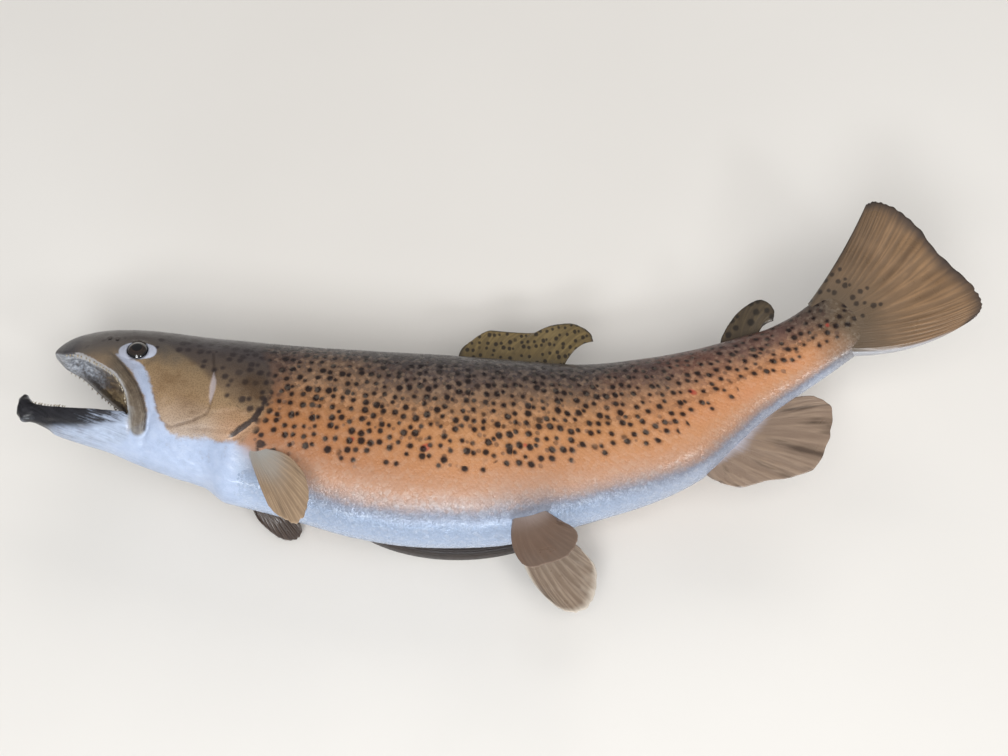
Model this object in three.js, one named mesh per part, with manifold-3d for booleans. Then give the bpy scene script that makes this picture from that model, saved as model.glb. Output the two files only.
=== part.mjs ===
// A mounted brown trout, life size, lying on its right side on an oval board.
// Millimetres, +Z up. The origin is the middle of the board's underside.
//
// The fish is made straight first, in its own frame: u runs from the snout towards the tail,
// v towards the back and w towards the left flank, which faces up. bend() then lays that
// frame along the curved backbone. Booleans are done while the fish is straight.

import * as THREE from "three";
import { mergeVertices } from "three/addons/utils/BufferGeometryUtils.js";
import Module from "manifold-3d";

const wasm = await Module();
wasm.setup();

// ---------------------------------------------------------------- driving dimensions

const SNOUT = -4; // the snout's tip, along u
const JAW_TIP = -12; // the lower jaw reaches further
const TAIL_ROOT = 512; // the end of the flesh, inside the tail fin
const HEAD_END = 125; // parting under the gill covers
const TRUNK_CUTS = [232, 338]; // partings between the trunk's lengths
const STALK_CUT = 458; // parting in front of the tail stalk
const GAP = 0.3; // between neighbouring pieces

const BOARD = { length: 162, width: 92, thickness: 14, cove: 4, bevel: 1.6, chamfer: 1 };
const SEAT = { u: 250, x: 1.8, y: 8.7, z: 47.5 }; // where the backbone crosses the board

// The backbone in degrees: its heading, turning towards the back, its climb off the board,
// and the roll of the head, which turns the belly a little upwards.
const HEADING = [[0, -11.5], [130, -10], [250, -1.5], [350, 12.5], [430, 28.5], [500, 31], [610, 38]];
const CLIMB = [[0, -7], [120, -6], [230, -0.5], [330, 4], [420, 12], [500, 20], [610, 26]];
const ROLL = [[0, 5], [90, 5], [220, 0], [610, 0]];

// The body's outline: how far the back and the belly stand from the backbone, and half its width.
const BACK = [
  [-12, 3], [-7, 12], [-4, 19.8], [0, 25.8], [6, 31], [12, 34.2], [24, 38.5], [36, 41.4],
  [48, 43.9], [60, 45.5], [84, 47.7], [120, 52.2], [156, 56.2], [192, 59.4], [230, 60.8],
  [264, 59.4], [300, 55.2], [336, 48.9], [372, 44], [396, 39.2], [420, 33], [444, 26.5],
  [463, 21.4], [480, 19.8], [500, 20.6], [512, 19],
];
const BELLY = [
  [-12, 24.5], [-8.5, 27.6], [0, 28.9], [6, 30.2], [12, 32.6], [24, 33.4], [42, 34.5], [60, 37.9],
  [84, 41.4], [103, 43.3], [119, 50.4], [144, 51.7], [168, 54.3], [192, 57.8], [228, 60],
  [264, 58.9], [280, 57.3], [300, 52.8], [324, 48.4], [360, 44.3], [384, 40.1], [408, 31.1],
  [432, 25], [456, 23.3], [480, 22.7], [500, 21.8], [512, 19.5],
];
const HALF_WIDTH = [
  [-12, 3.2], [-6, 7], [-2, 9.5], [4, 14], [13, 20], [23, 25.4], [34, 28.8], [50, 30.6],
  [70, 32], [90, 33.4], [130, 35.6], [165, 36.5], [240, 36.5], [280, 35.2], [320, 32.2],
  [360, 28], [400, 22.6], [430, 17.6], [460, 13], [480, 10.4], [500, 7.4], [512, 4.2],
];
const ROUNDNESS = { back: 2.35, belly: 2.2 }; // superellipse powers of the section

const AROUND = 20; // sides of the body's section
const FINE = 9; // spacing of the sections, on the head
const COARSE = 15; // and on the trunk
const HOLLOW_SIDES = 16; // sides of the mouth's hollow

// The open mouth, seen from the side: the upper lip's edge, the corner and the lower jaw's edge.
const UPPER_LIP = [
  [2.4, 14.2], [13, 13.3], [25, 8.2], [34, 4.2], [40.8, 0.5], [45.4, -4], [49.8, -9.7], [52.6, -17.3],
];
const MOUTH_CORNER = [53.5, -19.4];
const LOWER_LIP = [[51, -18.9], [21, -21], [7.3, -20.4], [-7, -18.4]];
const SNOUT_EDGE = 17; // the lip's height at the snout's tip
const JAW_EDGE = -17; // and the lower lip's, at the jaw's tip

// The mouth's hollow: place, middle height, half height and half width of its sections.
const MOUTH_HOLLOW = [
  [0, -2.5, 6, 4.5], [6, -3, 18.5, 11.5], [15, -3.5, 22, 18], [28, -5.5, 22.5, 23.4],
  [42, -8.5, 21, 26], [54, -12.5, 18, 26], [64, -16.5, 12.5, 20.5], [72, -19, 7, 12],
];

const HOOK = { at: [-10.6, -20.2, 0], radii: [3.9, 7.8, 4.4], tilt: 13 }; // the kype
const EYE = { at: [48.5, 19.5], radius: 8.2, depth: 5.4, socket: 0.3 };
const GILL_COVER = { proud: 1.2, depth: 2.2 };
const LIP_BONE = { proud: 1.3, depth: 2.2 };

// Seen from the side: the gill cover's outline, the lip bone's middle line with its half
// breadths, and the partings of the jaw and the throat from the head.
const GILL_COVER_EDGE = [
  [72, 27], [96, 32], [114, 32.5], [124, 27], [131, 17], [133.4, 8], [132.2, -1], [129, -9],
  [123, -16.8], [116, -23.4], [98, -24.4], [80, -22.5], [71, -9], [69.5, 10],
];
const LIP_BONE_LINE = [
  [20, 15.4, 1.4], [28, 13, 3], [36, 8.6, 4.2], [43.5, 2.6, 4.6], [50, -3.8, 4.8],
  [55.8, -11.4, 5], [60, -19.5, 5.2], [61.8, -25.8, 4.8],
];
const JAW_PARTING = [[53.2, -18.5], [64, -28], [71, -36], [69.5, -52]];
const THROAT_PARTING = [[70, -35.8], [76, -30], [87, -27], [104, -28], [140, -29.4]];

const TONGUE = { from: 8, to: 60, height: -26, halfWidth: 7.5, thickness: 3.4 };
const TEETH = {
  height: 2.6, radius: 0.95, sides: 4,
  jaw: { count: 10, inset: 1.7, point: 1 },
  snout: { count: 5, inset: 1.7, point: -1 },
  lipBone: { count: 5, inset: 0.5, point: -1 },
};

// Each fin: its root along the body, the tips of its rays in order, how far the first and last
// rays bow, and its thickness at root and tip. All in the fish's own frame.
const FINS = {
  dorsal_fin: {
    root: [[246, 57, 0], [284, 54, 0], [319, 49, 0]],
    tips: [
      [254.4, 72.4, -1], [267.5, 81.4, -2], [276.5, 81.4, -2.6], [292, 80, -3], [303.6, 79.4, -3],
      [314.3, 81.8, -2], [324, 81.5, -1], [333.5, 79.7, 0], [341.2, 75, 2], [346.6, 68.2, 4],
      [346.3, 62.7, 6],
    ],
    bow: [[-2, 3, 0], [-1, 5, 0]],
    thickness: [4.2, 1.1],
  },
  adipose_fin: {
    root: [[429, 25, 0], [441, 22, 0], [452, 19, 0]],
    tips: [
      [439.3, 35.8, 0], [446, 39.4, -1], [452.4, 41.6, -1], [460, 42, 0], [467, 40.1, 1],
      [470.9, 34.4, 2], [470.2, 27.8, 2], [466.5, 23.8, 2],
    ],
    bow: [[-1, 1.5, 0], [-1, 3, 0]],
    thickness: [5, 2],
  },
  tail_fin: {
    root: [[499, 24, 0], [505, 0, 0], [496, -23.4, 0]],
    tips: [
      [556, 48.6, 2], [561, 47, 1], [566.6, 40.4, 0], [570.7, 25.7, -1], [569.6, -2.6, -2],
      [571, -32.5, -1], [568.9, -42.3, 0], [563.4, -45.8, 1], [556, -45.8, 2],
    ],
    bow: [[0, -1, 1], [0, -5, 1]],
    thickness: [12.5, 1.5],
  },
  anal_fin: {
    root: [[387, -34, 0], [410, -26, 0], [433, -20, 0]],
    tips: [
      [391.5, -46.2, 0], [399.5, -54.6, 0], [411.3, -58.2, 1], [425.7, -64.6, 1], [438.6, -66.4, 2],
      [450.3, -58.8, 2], [459.8, -50, 1], [465.8, -40.7, 0], [464.3, -34.5, 0], [460.9, -28.7, 0],
    ],
    bow: [[-2, 0, 0], [2, 2, 0]],
    thickness: [5, 1.1],
  },
  pelvic_fin_left: {
    root: [[281.5, -45, 15], [290, -46, 16], [299, -45, 17]],
    tips: [
      [285, -83.5, 47.5], [289.5, -87, 50], [296, -85.8, 50], [306, -82.4, 48], [311, -76, 45.5],
      [313, -67.5, 42], [310, -61, 37.5], [304, -55, 31],
    ],
    bow: [[-3.2, -2, 1], [2, -1, 1]],
    thickness: [5, 1.1],
  },
  pelvic_fin_right: {
    root: [[284, -49, -12], [292, -49.5, -13], [301, -47, -14]],
    tips: [
      [296, -88, -15], [303, -96, -17], [309, -98.4, -18], [316, -94.4, -18], [320, -84.6, -18],
      [321, -72.4, -17], [316, -60.5, -16],
    ],
    bow: [[-4, 0, -3], [2, 0, -3]],
    thickness: [5, 1.1],
  },
  pectoral_fin_left: {
    root: [[128, -28, 27], [133, -28.5, 28], [138.5, -25.5, 29]],
    tips: [
      [150, -66.5, 54], [156, -71.5, 57], [162, -74, 59], [167, -75.6, 60], [171, -70, 58.5],
      [171.4, -60, 55], [169.7, -51, 51.5], [165.2, -41, 46], [158, -34, 41],
    ],
    bow: [[-1, 0, 2], [1, 2, 2]],
    thickness: [6, 1.1],
  },
  pectoral_fin_right: {
    root: [[127, -29, -26], [131, -30, -26], [137, -28, -27]],
    tips: [
      [133.5, -41.8, -34], [138, -46.5, -39], [145, -50.6, -43], [153, -53, -45.4], [159.5, -51, -46],
      [161.5, -46, -45], [157, -38, -41],
    ],
    bow: [[-1, -1, -2], [2, 1, -4]],
    thickness: [6, 1.1],
  },
};
const FIN_RAYS = 9; // rows of faces across a fin
const FIN_STEPS = 4; // and along its rays

// ---------------------------------------------------------------- colours

const COLOURS = {
  back: [0x6f6455, 0.42],
  flank: [0xb98a5c, 0.38],
  cheek: [0x8c7a5a, 0.35],
  pale: [0xbfcbd8, 0.35],
  jaw: [0x2a2a2e, 0.3],
  lip: [0x6b5a45, 0.35],
  tongue: [0x8d8375, 0.4],
  eye: [0x17110c, 0.08],
  fin: [0x8f7d60, 0.4],
  tail: [0x6e5f41, 0.4],
  board: [0x1d1614, 0.35],
};

function finish(name) {
  const [color, roughness] = COLOURS[name];
  return new THREE.MeshStandardMaterial({ color, roughness, metalness: 0 });
}

// ---------------------------------------------------------------- curves

/** A smooth curve through [x, y] stations that never overshoots them. */
function through(stations) {
  const x = stations.map((s) => s[0]);
  const y = stations.map((s) => s[1]);
  const rise = x.slice(1).map((_, i) => (y[i + 1] - y[i]) / (x[i + 1] - x[i]));
  const slope = x.map((_, i) => {
    if (i === 0) return rise[0];
    if (i === x.length - 1) return rise[i - 1];
    const [a, b] = [rise[i - 1], rise[i]];
    return a * b <= 0 ? 0 : (2 * a * b) / (a + b);
  });
  return (at) => {
    const i = Math.max(0, Math.min(x.length - 2, x.findLastIndex((v) => v <= at)));
    const step = x[i + 1] - x[i];
    const t = THREE.MathUtils.clamp((at - x[i]) / step, 0, 1);
    const [t2, t3] = [t * t, t * t * t];
    return (
      y[i] * (2 * t3 - 3 * t2 + 1) + y[i + 1] * (3 * t2 - 2 * t3) +
      step * (slope[i] * (t3 - 2 * t2 + t) + slope[i + 1] * (t3 - t2))
    );
  };
}

const heading = through(HEADING);
const climb = through(CLIMB);
const roll = through(ROLL);
const backAt = through(BACK);
const bellyAt = through(BELLY);
const halfWidthAt = through(HALF_WIDTH);

// ---------------------------------------------------------------- the backbone

/** The directions of u, v and w in space at a place along the backbone. */
function axesAt(u) {
  const yaw = THREE.MathUtils.degToRad(heading(u));
  const lift = THREE.MathUtils.degToRad(climb(u));
  const along = new THREE.Vector3(
    Math.cos(yaw) * Math.cos(lift), Math.sin(yaw) * Math.cos(lift), Math.sin(lift));
  const turn = THREE.MathUtils.degToRad(-roll(u));
  const upright = new THREE.Vector3(-Math.sin(yaw), Math.cos(yaw), 0);
  const backward = upright.applyAxisAngle(along, turn);
  return { along, backward, side: along.clone().cross(backward) };
}

const BACKBONE_STEPS = 620; // one a millimetre
const backbone = [new THREE.Vector3()];
for (let u = 1; u <= BACKBONE_STEPS; u++) {
  const stride = axesAt(u - 1).along.add(axesAt(u).along).multiplyScalar(0.5);
  backbone.push(backbone[u - 1].clone().add(stride));
}
const seat = new THREE.Vector3(SEAT.x, SEAT.y, SEAT.z).sub(backbone[SEAT.u]);
for (const point of backbone) point.add(seat);

/** A point of the straight fish, laid along the backbone. */
function bend(point) {
  const u = THREE.MathUtils.clamp(point.x, 0, BACKBONE_STEPS - 1);
  const i = Math.floor(u);
  const { along, backward, side } = axesAt(u);
  return backbone[i].clone().lerp(backbone[i + 1], u - i)
    .addScaledVector(along, point.x - u)
    .addScaledVector(backward, point.y)
    .addScaledVector(side, point.z);
}

// ---------------------------------------------------------------- solids

/** A closed three.js geometry as a solid for booleans. */
function solid(geometry) {
  const bare = geometry.index ? geometry.toNonIndexed() : geometry.clone();
  bare.deleteAttribute("normal");
  bare.deleteAttribute("uv");
  const merged = mergeVertices(bare, 1e-4);
  return new wasm.Manifold(new wasm.Mesh({
    numProp: 3,
    vertProperties: merged.attributes.position.array,
    triVerts: new Uint32Array(merged.index.array),
  }));
}

/** The largest body of a solid, without the slivers that a cut can leave. */
function largest(body) {
  return body.decompose().reduce((a, b) => (a.volume() > b.volume() ? a : b));
}

/** A solid's surface as a geometry, with each point moved by place(). */
function surface(body, place = (p) => p) {
  const mesh = body.getMesh();
  const point = new THREE.Vector3();
  const positions = new Float32Array(mesh.numVert * 3);
  for (let i = 0; i < mesh.numVert; i++) {
    point.fromArray(mesh.vertProperties, i * mesh.numProp);
    place(point).toArray(positions, i * 3);
  }
  const geometry = new THREE.BufferGeometry();
  geometry.setAttribute("position", new THREE.BufferAttribute(positions, 3));
  geometry.setIndex([...mesh.triVerts]);
  return geometry;
}

/** Rings of points joined into a closed solid. Each end is closed across its ring. */
function rings(rows) {
  const sides = rows[0].length;
  const faces = [];
  for (let i = 0; i + 1 < rows.length; i++) {
    const [a, b] = [i * sides, (i + 1) * sides];
    for (let j = 0; j < sides; j++) {
      const k = (j + 1) % sides;
      faces.push(a + j, a + k, b + k, a + j, b + k, b + j);
    }
  }
  const last = (rows.length - 1) * sides;
  for (let j = 0, k = sides - 1; j + 1 < k; j++, k--) {
    const strip = [j, k, j + 1];
    if (k - 1 > j + 1) strip.push(j + 1, k, k - 1);
    faces.push(...strip, ...strip.map((n) => last + n).reverse());
  }
  const points = rows.flat();
  const geometry = new THREE.BufferGeometry().setFromPoints(points);
  geometry.setIndex(faces);
  return solid(geometry);
}

/** The body's section at u, grown by a margin: a superellipse with its own back and belly. */
function section(u, grow) {
  const [back, belly] = [backAt(u), bellyAt(u)];
  const middle = (back - belly) / 2;
  const ring = [];
  for (let i = 0; i < AROUND; i++) {
    const turn = (2 * Math.PI * i) / AROUND;
    const [cos, sin] = [Math.cos(turn), Math.sin(turn)];
    const power = 2 / (cos > 0 ? ROUNDNESS.back : ROUNDNESS.belly);
    const high = Math.sign(cos) * Math.abs(cos) ** power * ((back + belly) / 2 + grow);
    const wide = Math.sign(sin) * Math.abs(sin) ** power * (halfWidthAt(u) + grow);
    ring.push(new THREE.Vector3(u, middle + high, wide));
  }
  return ring;
}

/** A length of the body between two places, with sections at whole multiples of the spacing. */
function bodyLength(from, to, spacing, grow = 0) {
  const places = [from];
  for (let u = spacing * Math.ceil((from + 1) / spacing); u < to - 1; u += spacing) places.push(u);
  places.push(to);
  return rings(places.map((u) => section(u, grow)));
}

/** A closed outline in the side view, cut through the fish from w = from to w = to. */
function sideCut(outline, from, to) {
  const shape = new THREE.Shape(outline.map(([u, v]) => new THREE.Vector2(u, v)));
  const geometry = new THREE.ExtrudeGeometry(shape, { depth: to - from, bevelEnabled: false });
  return solid(geometry.translate(0, 0, from));
}

/** A smooth line through [u, v] points, as more of them. */
function smooth(points, count, closed = false) {
  const curve = new THREE.CatmullRomCurve3(
    points.map(([u, v, other = 0]) => new THREE.Vector3(u, v, other)), closed, "centripetal");
  const fine = curve.getPoints(count);
  if (closed) fine.pop();
  return fine.map((p) => [p.x, p.y, p.z]);
}

/** A band along a line in the side view; the third number of each point is half its breadth. */
function band(line) {
  const left = [];
  const right = [];
  line.forEach(([u, v, half], i) => {
    const before = line[Math.max(0, i - 1)];
    const after = line[Math.min(line.length - 1, i + 1)];
    const across = new THREE.Vector2(before[1] - after[1], after[0] - before[0]).setLength(half);
    left.push([u + across.x, v + across.y]);
    right.unshift([u - across.x, v - across.y]);
  });
  return [...left, ...right];
}

/** An outline grown by a margin, each point moved away from its neighbours' line. */
function grown(outline, margin) {
  const turn = Math.sign(THREE.ShapeUtils.area(outline.map(([x, y]) => ({ x, y }))));
  return outline.map(([u, v], i) => {
    const before = outline.at(i - 1);
    const after = outline[(i + 1) % outline.length];
    const out = new THREE.Vector2(after[1] - before[1], before[0] - after[0]).setLength(turn * margin);
    return [u + out.x, v + out.y];
  });
}

// Places clear of the fish, for the ends of its cutting tools.
const AHEAD = -60;
const BEHIND_HEAD = 150;
const ABOVE = 60;
const BELOW = -90;
const BESIDE = 90;
const PROUD = 4; // how far a recess's tool stands out of the skin

// ---------------------------------------------------------------- head

/** A plate that follows the body's surface inside an outline, on one side (1 left, -1 right). */
function plate(outline, side, proud, depth) {
  const [from, to] = side > 0 ? [0, BESIDE] : [-BESIDE, 0];
  return bodyLength(JAW_TIP, BEHIND_HEAD, FINE, proud)
    .intersect(sideCut(outline, from, to))
    .subtract(bodyLength(JAW_TIP - 1, BEHIND_HEAD + 1, FINE, -depth));
}

function mouthGap() {
  return sideCut([
    [AHEAD, ABOVE], [SNOUT, ABOVE], [SNOUT, SNOUT_EDGE], ...UPPER_LIP, MOUTH_CORNER, ...LOWER_LIP,
    [AHEAD, JAW_EDGE],
  ], -BESIDE, BESIDE);
}

function mouthHollow(margin) {
  const rows = MOUTH_HOLLOW.map(([u, v, high, wide]) => {
    const ring = [];
    for (let i = 0; i < HOLLOW_SIDES; i++) {
      const turn = (2 * Math.PI * i) / HOLLOW_SIDES;
      const [y, z] = [(high - margin) * Math.cos(turn), (wide - margin) * Math.sin(turn)];
      ring.push(new THREE.Vector3(u, v + y, z));
    }
    return ring;
  });
  return rings(rows);
}

function ball([u, v, w], [a, b, c], tilt = 0) {
  return solid(new THREE.SphereGeometry(1, 12, 8).scale(a, b, c)
    .rotateZ(THREE.MathUtils.degToRad(tilt)).translate(u, v, w));
}

/** The width of the body's surface at a place in the side view. */
function surfaceWidth(u, v) {
  const [back, belly] = [backAt(u), bellyAt(u)];
  const high = Math.min(1, Math.abs(v - (back - belly) / 2) / ((back + belly) / 2));
  const power = v > (back - belly) / 2 ? ROUNDNESS.back : ROUNDNESS.belly;
  return halfWidthAt(u) * (1 - high ** power) ** (1 / power);
}

/** Teeth along a lip's edge on one side, pointing up (1) or down (-1). */
function teeth(edge, side, { count, inset, point }) {
  const lip = new THREE.CatmullRomCurve3(edge.map(([u, v]) => new THREE.Vector3(u, v, 0)));
  const row = [];
  for (let i = 0; i < count; i++) {
    const at = lip.getPointAt((i + 0.5) / count);
    const w = side * (surfaceWidth(at.x, at.y) - inset);
    const tooth = new THREE.ConeGeometry(TEETH.radius, 2 * TEETH.height, TEETH.sides);
    if (point < 0) tooth.rotateX(Math.PI);
    row.push(solid(tooth.translate(at.x, at.y, w)));
  }
  return wasm.Manifold.union(row);
}

const gap = mouthGap();
const hollow = mouthHollow(0);
const gillEdge = smooth(GILL_COVER_EDGE, 24, true);
const lipBand = band(smooth(LIP_BONE_LINE, 9));
const jawLine = smooth(JAW_PARTING, 10);
const throatLine = smooth(THROAT_PARTING, 10);
const partings = [jawLine, throatLine].map((line) =>
  sideCut(band(line.map(([u, v]) => [u, v, GAP / 2])), -BESIDE, BESIDE));

const sides = { left: 1, right: -1 };
const gillCovers = {};
const lipBones = {};
const eyes = {};
const recesses = [];
for (const [name, side] of Object.entries(sides)) {
  gillCovers[name] = plate(gillEdge, side, GILL_COVER.proud, GILL_COVER.depth);
  lipBones[name] = plate(lipBand, side, LIP_BONE.proud, LIP_BONE.depth)
    .add(teeth(UPPER_LIP.slice(3), side, TEETH.lipBone));
  recesses.push(plate(grown(gillEdge, GAP), side, PROUD, GILL_COVER.depth + GAP));
  recesses.push(plate(grown(lipBand, GAP), side, PROUD, LIP_BONE.depth + GAP));
  const [u, v] = EYE.at;
  const w = side * (surfaceWidth(u, v) - EYE.depth);
  const radii = [EYE.radius, EYE.radius, EYE.radius];
  eyes[name] = ball([u, v, w], radii);
  recesses.push(ball([u, v, w], radii.map((r) => r + EYE.socket)));
}
const tongue = ball(
  [(TONGUE.from + TONGUE.to) / 2, TONGUE.height, 0],
  [(TONGUE.to - TONGUE.from) / 2, TONGUE.thickness, TONGUE.halfWidth],
).intersect(mouthHollow(GAP));
const cutters = wasm.Manifold.union([gap, hollow, ...partings, ...recesses]);

const [jawEnd, throatStart, throatEnd] = [jawLine.at(-1), throatLine[0], throatLine.at(-1)];
const jawRegion = sideCut(
  [[AHEAD, 0], ...jawLine, [jawEnd[0], BELOW], [AHEAD, BELOW]], -BESIDE, BESIDE);
const underThroat = sideCut(
  [...throatLine, [throatEnd[0], BELOW], [throatStart[0], BELOW]], -BESIDE, BESIDE);

const wholeHead = bodyLength(JAW_TIP, HEAD_END, FINE).subtract(cutters);
const bothSides = (make) => wasm.Manifold.union([make(1), make(-1)]);
const lowerJaw = wholeHead.intersect(jawRegion)
  .add(ball(HOOK.at, HOOK.radii, HOOK.tilt))
  .add(bothSides((side) => teeth(LOWER_LIP, side, TEETH.jaw)));
const throat = wholeHead.intersect(underThroat).subtract(jawRegion);
const head = wholeHead.subtract(jawRegion).subtract(underThroat)
  .add(bothSides((side) => teeth(UPPER_LIP.slice(0, 3), side, TEETH.snout)));

// ---------------------------------------------------------------- trunk and fins

const trunkEnds = [HEAD_END, ...TRUNK_CUTS, STALK_CUT, TAIL_ROOT];
const trunkNames = ["trunk_front", "trunk_middle", "trunk_rear", "tail_stalk"];
const trunk = {};
trunkNames.forEach((name, i) => {
  const from = trunkEnds[i] + GAP;
  trunk[name] = bodyLength(from, trunkEnds[i + 1], COARSE).subtract(cutters);
});

/** A fin: a grid of its rays, each a bowed line from root to tip, given a thickness. */
function fin({ root, tips, bow, thickness }) {
  const rootCurve = new THREE.CatmullRomCurve3(root.map((p) => new THREE.Vector3(...p)));
  const tipCurve = new THREE.CatmullRomCurve3(tips.map((p) => new THREE.Vector3(...p)));
  const [firstBow, lastBow] = bow.map((p) => new THREE.Vector3(...p));
  const at = (s, t) => {
    const [a, b] = [rootCurve.getPoint(s), tipCurve.getPoint(s)];
    return a.clone().lerp(b, t).addScaledVector(firstBow.clone().lerp(lastBow, s), 4 * t * (1 - t));
  };
  const edge = 1e-3;
  const skin = (s, t, side) => {
    const [s0, s1] = [Math.max(0, s - edge), Math.min(1, s + edge)];
    const [t0, t1] = [Math.max(0, t - edge), Math.min(1, t + edge)];
    const across = at(s1, t).sub(at(s0, t));
    const along = at(s, t1).sub(at(s, t0));
    const out = across.cross(along).setLength(THREE.MathUtils.lerp(...thickness, t) / 2);
    return at(s, t).addScaledVector(out, side);
  };
  const rows = [];
  for (let i = 0; i <= FIN_RAYS; i++) {
    const row = [];
    for (let j = 0; j <= FIN_STEPS; j++) row.push(skin(i / FIN_RAYS, j / FIN_STEPS, 1));
    for (let j = FIN_STEPS; j >= 0; j--) row.push(skin(i / FIN_RAYS, j / FIN_STEPS, -1));
    rows.push(row);
  }
  const body = rings(rows);
  return body.volume() > 0 ? body : rings(rows.reverse());
}

const grownBody = bodyLength(MOUTH_CORNER[0], TAIL_ROOT, COARSE, GAP);
const fins = {};
for (const [name, shape] of Object.entries(FINS)) {
  fins[name] = fin(shape).subtract(grownBody);
}

// ---------------------------------------------------------------- board

function board() {
  const { length, width, thickness, cove, bevel, chamfer } = BOARD;
  const r = length / 2;
  const profile = [
    [0, 0], [r - chamfer, 0], [r, chamfer], [r, thickness - cove],
    [r - bevel, thickness - bevel], [r - cove, thickness - chamfer], [r - cove, thickness],
    [0, thickness],
  ].map(([x, y]) => new THREE.Vector2(x, y));
  return new THREE.LatheGeometry(profile, 36).rotateX(Math.PI / 2).scale(1, width / length, 1);
}

// ---------------------------------------------------------------- assembly

const trout = new THREE.Group();

function addNode(name, body, colour, place = bend) {
  const mesh = new THREE.Mesh(surface(largest(body), place), finish(colour));
  mesh.name = name;
  trout.add(mesh);
}

const sunk = BOARD.thickness + GAP; // the right flank is cut flat above the board
const bedSize = 400; // a block under the whole trunk
const bed = solid(
  new THREE.BoxGeometry(bedSize, bedSize, bedSize).translate(0, 0, sunk - bedSize / 2));
const laid = (body) => solid(surface(body, bend)).subtract(bed);

addNode("head", head, "back");
addNode("lower_jaw", lowerJaw, "jaw");
addNode("throat", throat, "pale");
addNode("tongue", tongue, "tongue");
for (const name of Object.keys(sides)) {
  addNode(`gill_cover_${name}`, gillCovers[name], "cheek");
  addNode(`lip_bone_${name}`, lipBones[name], "lip");
  addNode(`eye_${name}`, eyes[name], "eye");
}
for (const [name, body] of Object.entries(trunk)) {
  if (name === "tail_stalk") addNode(name, body, "flank");
  else addNode(name, laid(body), "flank", (p) => p);
}
for (const [name, body] of Object.entries(fins)) {
  addNode(name, body, name === "tail_fin" ? "tail" : "fin");
}
const boardMesh = new THREE.Mesh(board(), finish("board"));
boardMesh.name = "board";
trout.add(boardMesh);

export default trout;
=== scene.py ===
"""A mounted brown trout on its oval board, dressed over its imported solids.

The fish is made straight, in millimetres: u runs from the snout to the tail, v towards the
back and w towards the left flank. Backbone.bend() lays it along its curve, in metres.
"""

import math
from functools import partialmethod

import bpy
import numpy as np
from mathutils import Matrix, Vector


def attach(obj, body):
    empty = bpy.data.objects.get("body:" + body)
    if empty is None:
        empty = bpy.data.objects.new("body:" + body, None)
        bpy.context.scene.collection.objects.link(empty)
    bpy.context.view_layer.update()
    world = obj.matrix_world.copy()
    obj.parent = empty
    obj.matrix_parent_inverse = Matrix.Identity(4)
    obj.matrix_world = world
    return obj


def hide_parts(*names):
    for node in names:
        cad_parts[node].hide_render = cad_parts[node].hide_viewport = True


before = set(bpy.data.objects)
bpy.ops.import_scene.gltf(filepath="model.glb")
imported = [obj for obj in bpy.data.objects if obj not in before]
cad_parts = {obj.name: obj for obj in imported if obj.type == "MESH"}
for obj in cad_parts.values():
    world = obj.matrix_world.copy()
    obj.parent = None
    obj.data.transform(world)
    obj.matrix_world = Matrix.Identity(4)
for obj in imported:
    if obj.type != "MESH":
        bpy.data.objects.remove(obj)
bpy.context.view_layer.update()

MM = 0.001

# ---------------------------------------------------------------- the fish's sizes

HEADING = [[0, -11.5], [130, -10], [250, -1.5], [350, 12.5], [430, 28.5], [500, 31], [610, 38]]
CLIMB = [[0, -7], [120, -6], [230, -0.5], [330, 4], [420, 12], [500, 20], [610, 26]]
ROLL = [[0, 5], [90, 5], [220, 0], [610, 0]]
SEAT = 250, (1.8, 8.7, 47.5)  # the place on the backbone that lies over the board
BACK = [
    [-12, 3], [-7, 12], [-4, 19.8], [0, 25.8], [6, 31], [12, 34.2], [24, 38.5], [36, 41.4],
    [48, 43.9], [60, 45.5], [84, 47.7], [120, 52.2], [156, 56.2], [192, 59.4], [230, 60.8],
    [264, 59.4], [300, 55.2], [336, 48.9], [372, 44], [396, 39.2], [420, 33], [444, 26.5],
    [463, 21.4], [480, 19.8], [500, 20.6], [512, 19], [524, 12],
]
BELLY = [
    [-12, 24.5], [-8.5, 27.6], [0, 28.9], [6, 30.2], [12, 32.6], [24, 33.4], [42, 34.5],
    [60, 37.9], [84, 41.4], [103, 43.3], [119, 50.4], [144, 51.7], [168, 54.3], [192, 57.8],
    [228, 60], [264, 58.9], [280, 57.3], [300, 52.8], [324, 48.4], [360, 44.3], [384, 40.1],
    [408, 31.1], [432, 25], [456, 23.3], [480, 22.7], [500, 21.8], [512, 19.5], [524, 12],
]
HALF_WIDTH = [
    [-12, 3.2], [-6, 7], [-2, 9.5], [4, 14], [13, 20], [23, 25.4], [34, 28.8], [50, 30.6],
    [70, 32], [90, 33.4], [130, 35.6], [165, 36.5], [240, 36.5], [280, 35.2], [320, 32.2],
    [360, 28], [400, 22.6], [430, 17.6], [460, 13], [480, 10.4], [500, 7.0], [512, 3.6],
    [524, 1.6],
]
LATERAL_LINE = [[120, 14], [160, 9.5], [230, 5], [320, 2], [420, 0.5], [512, 0]]
ROUND_BACK, ROUND_BELLY = 2.35, 2.2
NOSE, TAIL_END = -12, 522
BOARD_TOP = 14.0

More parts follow.
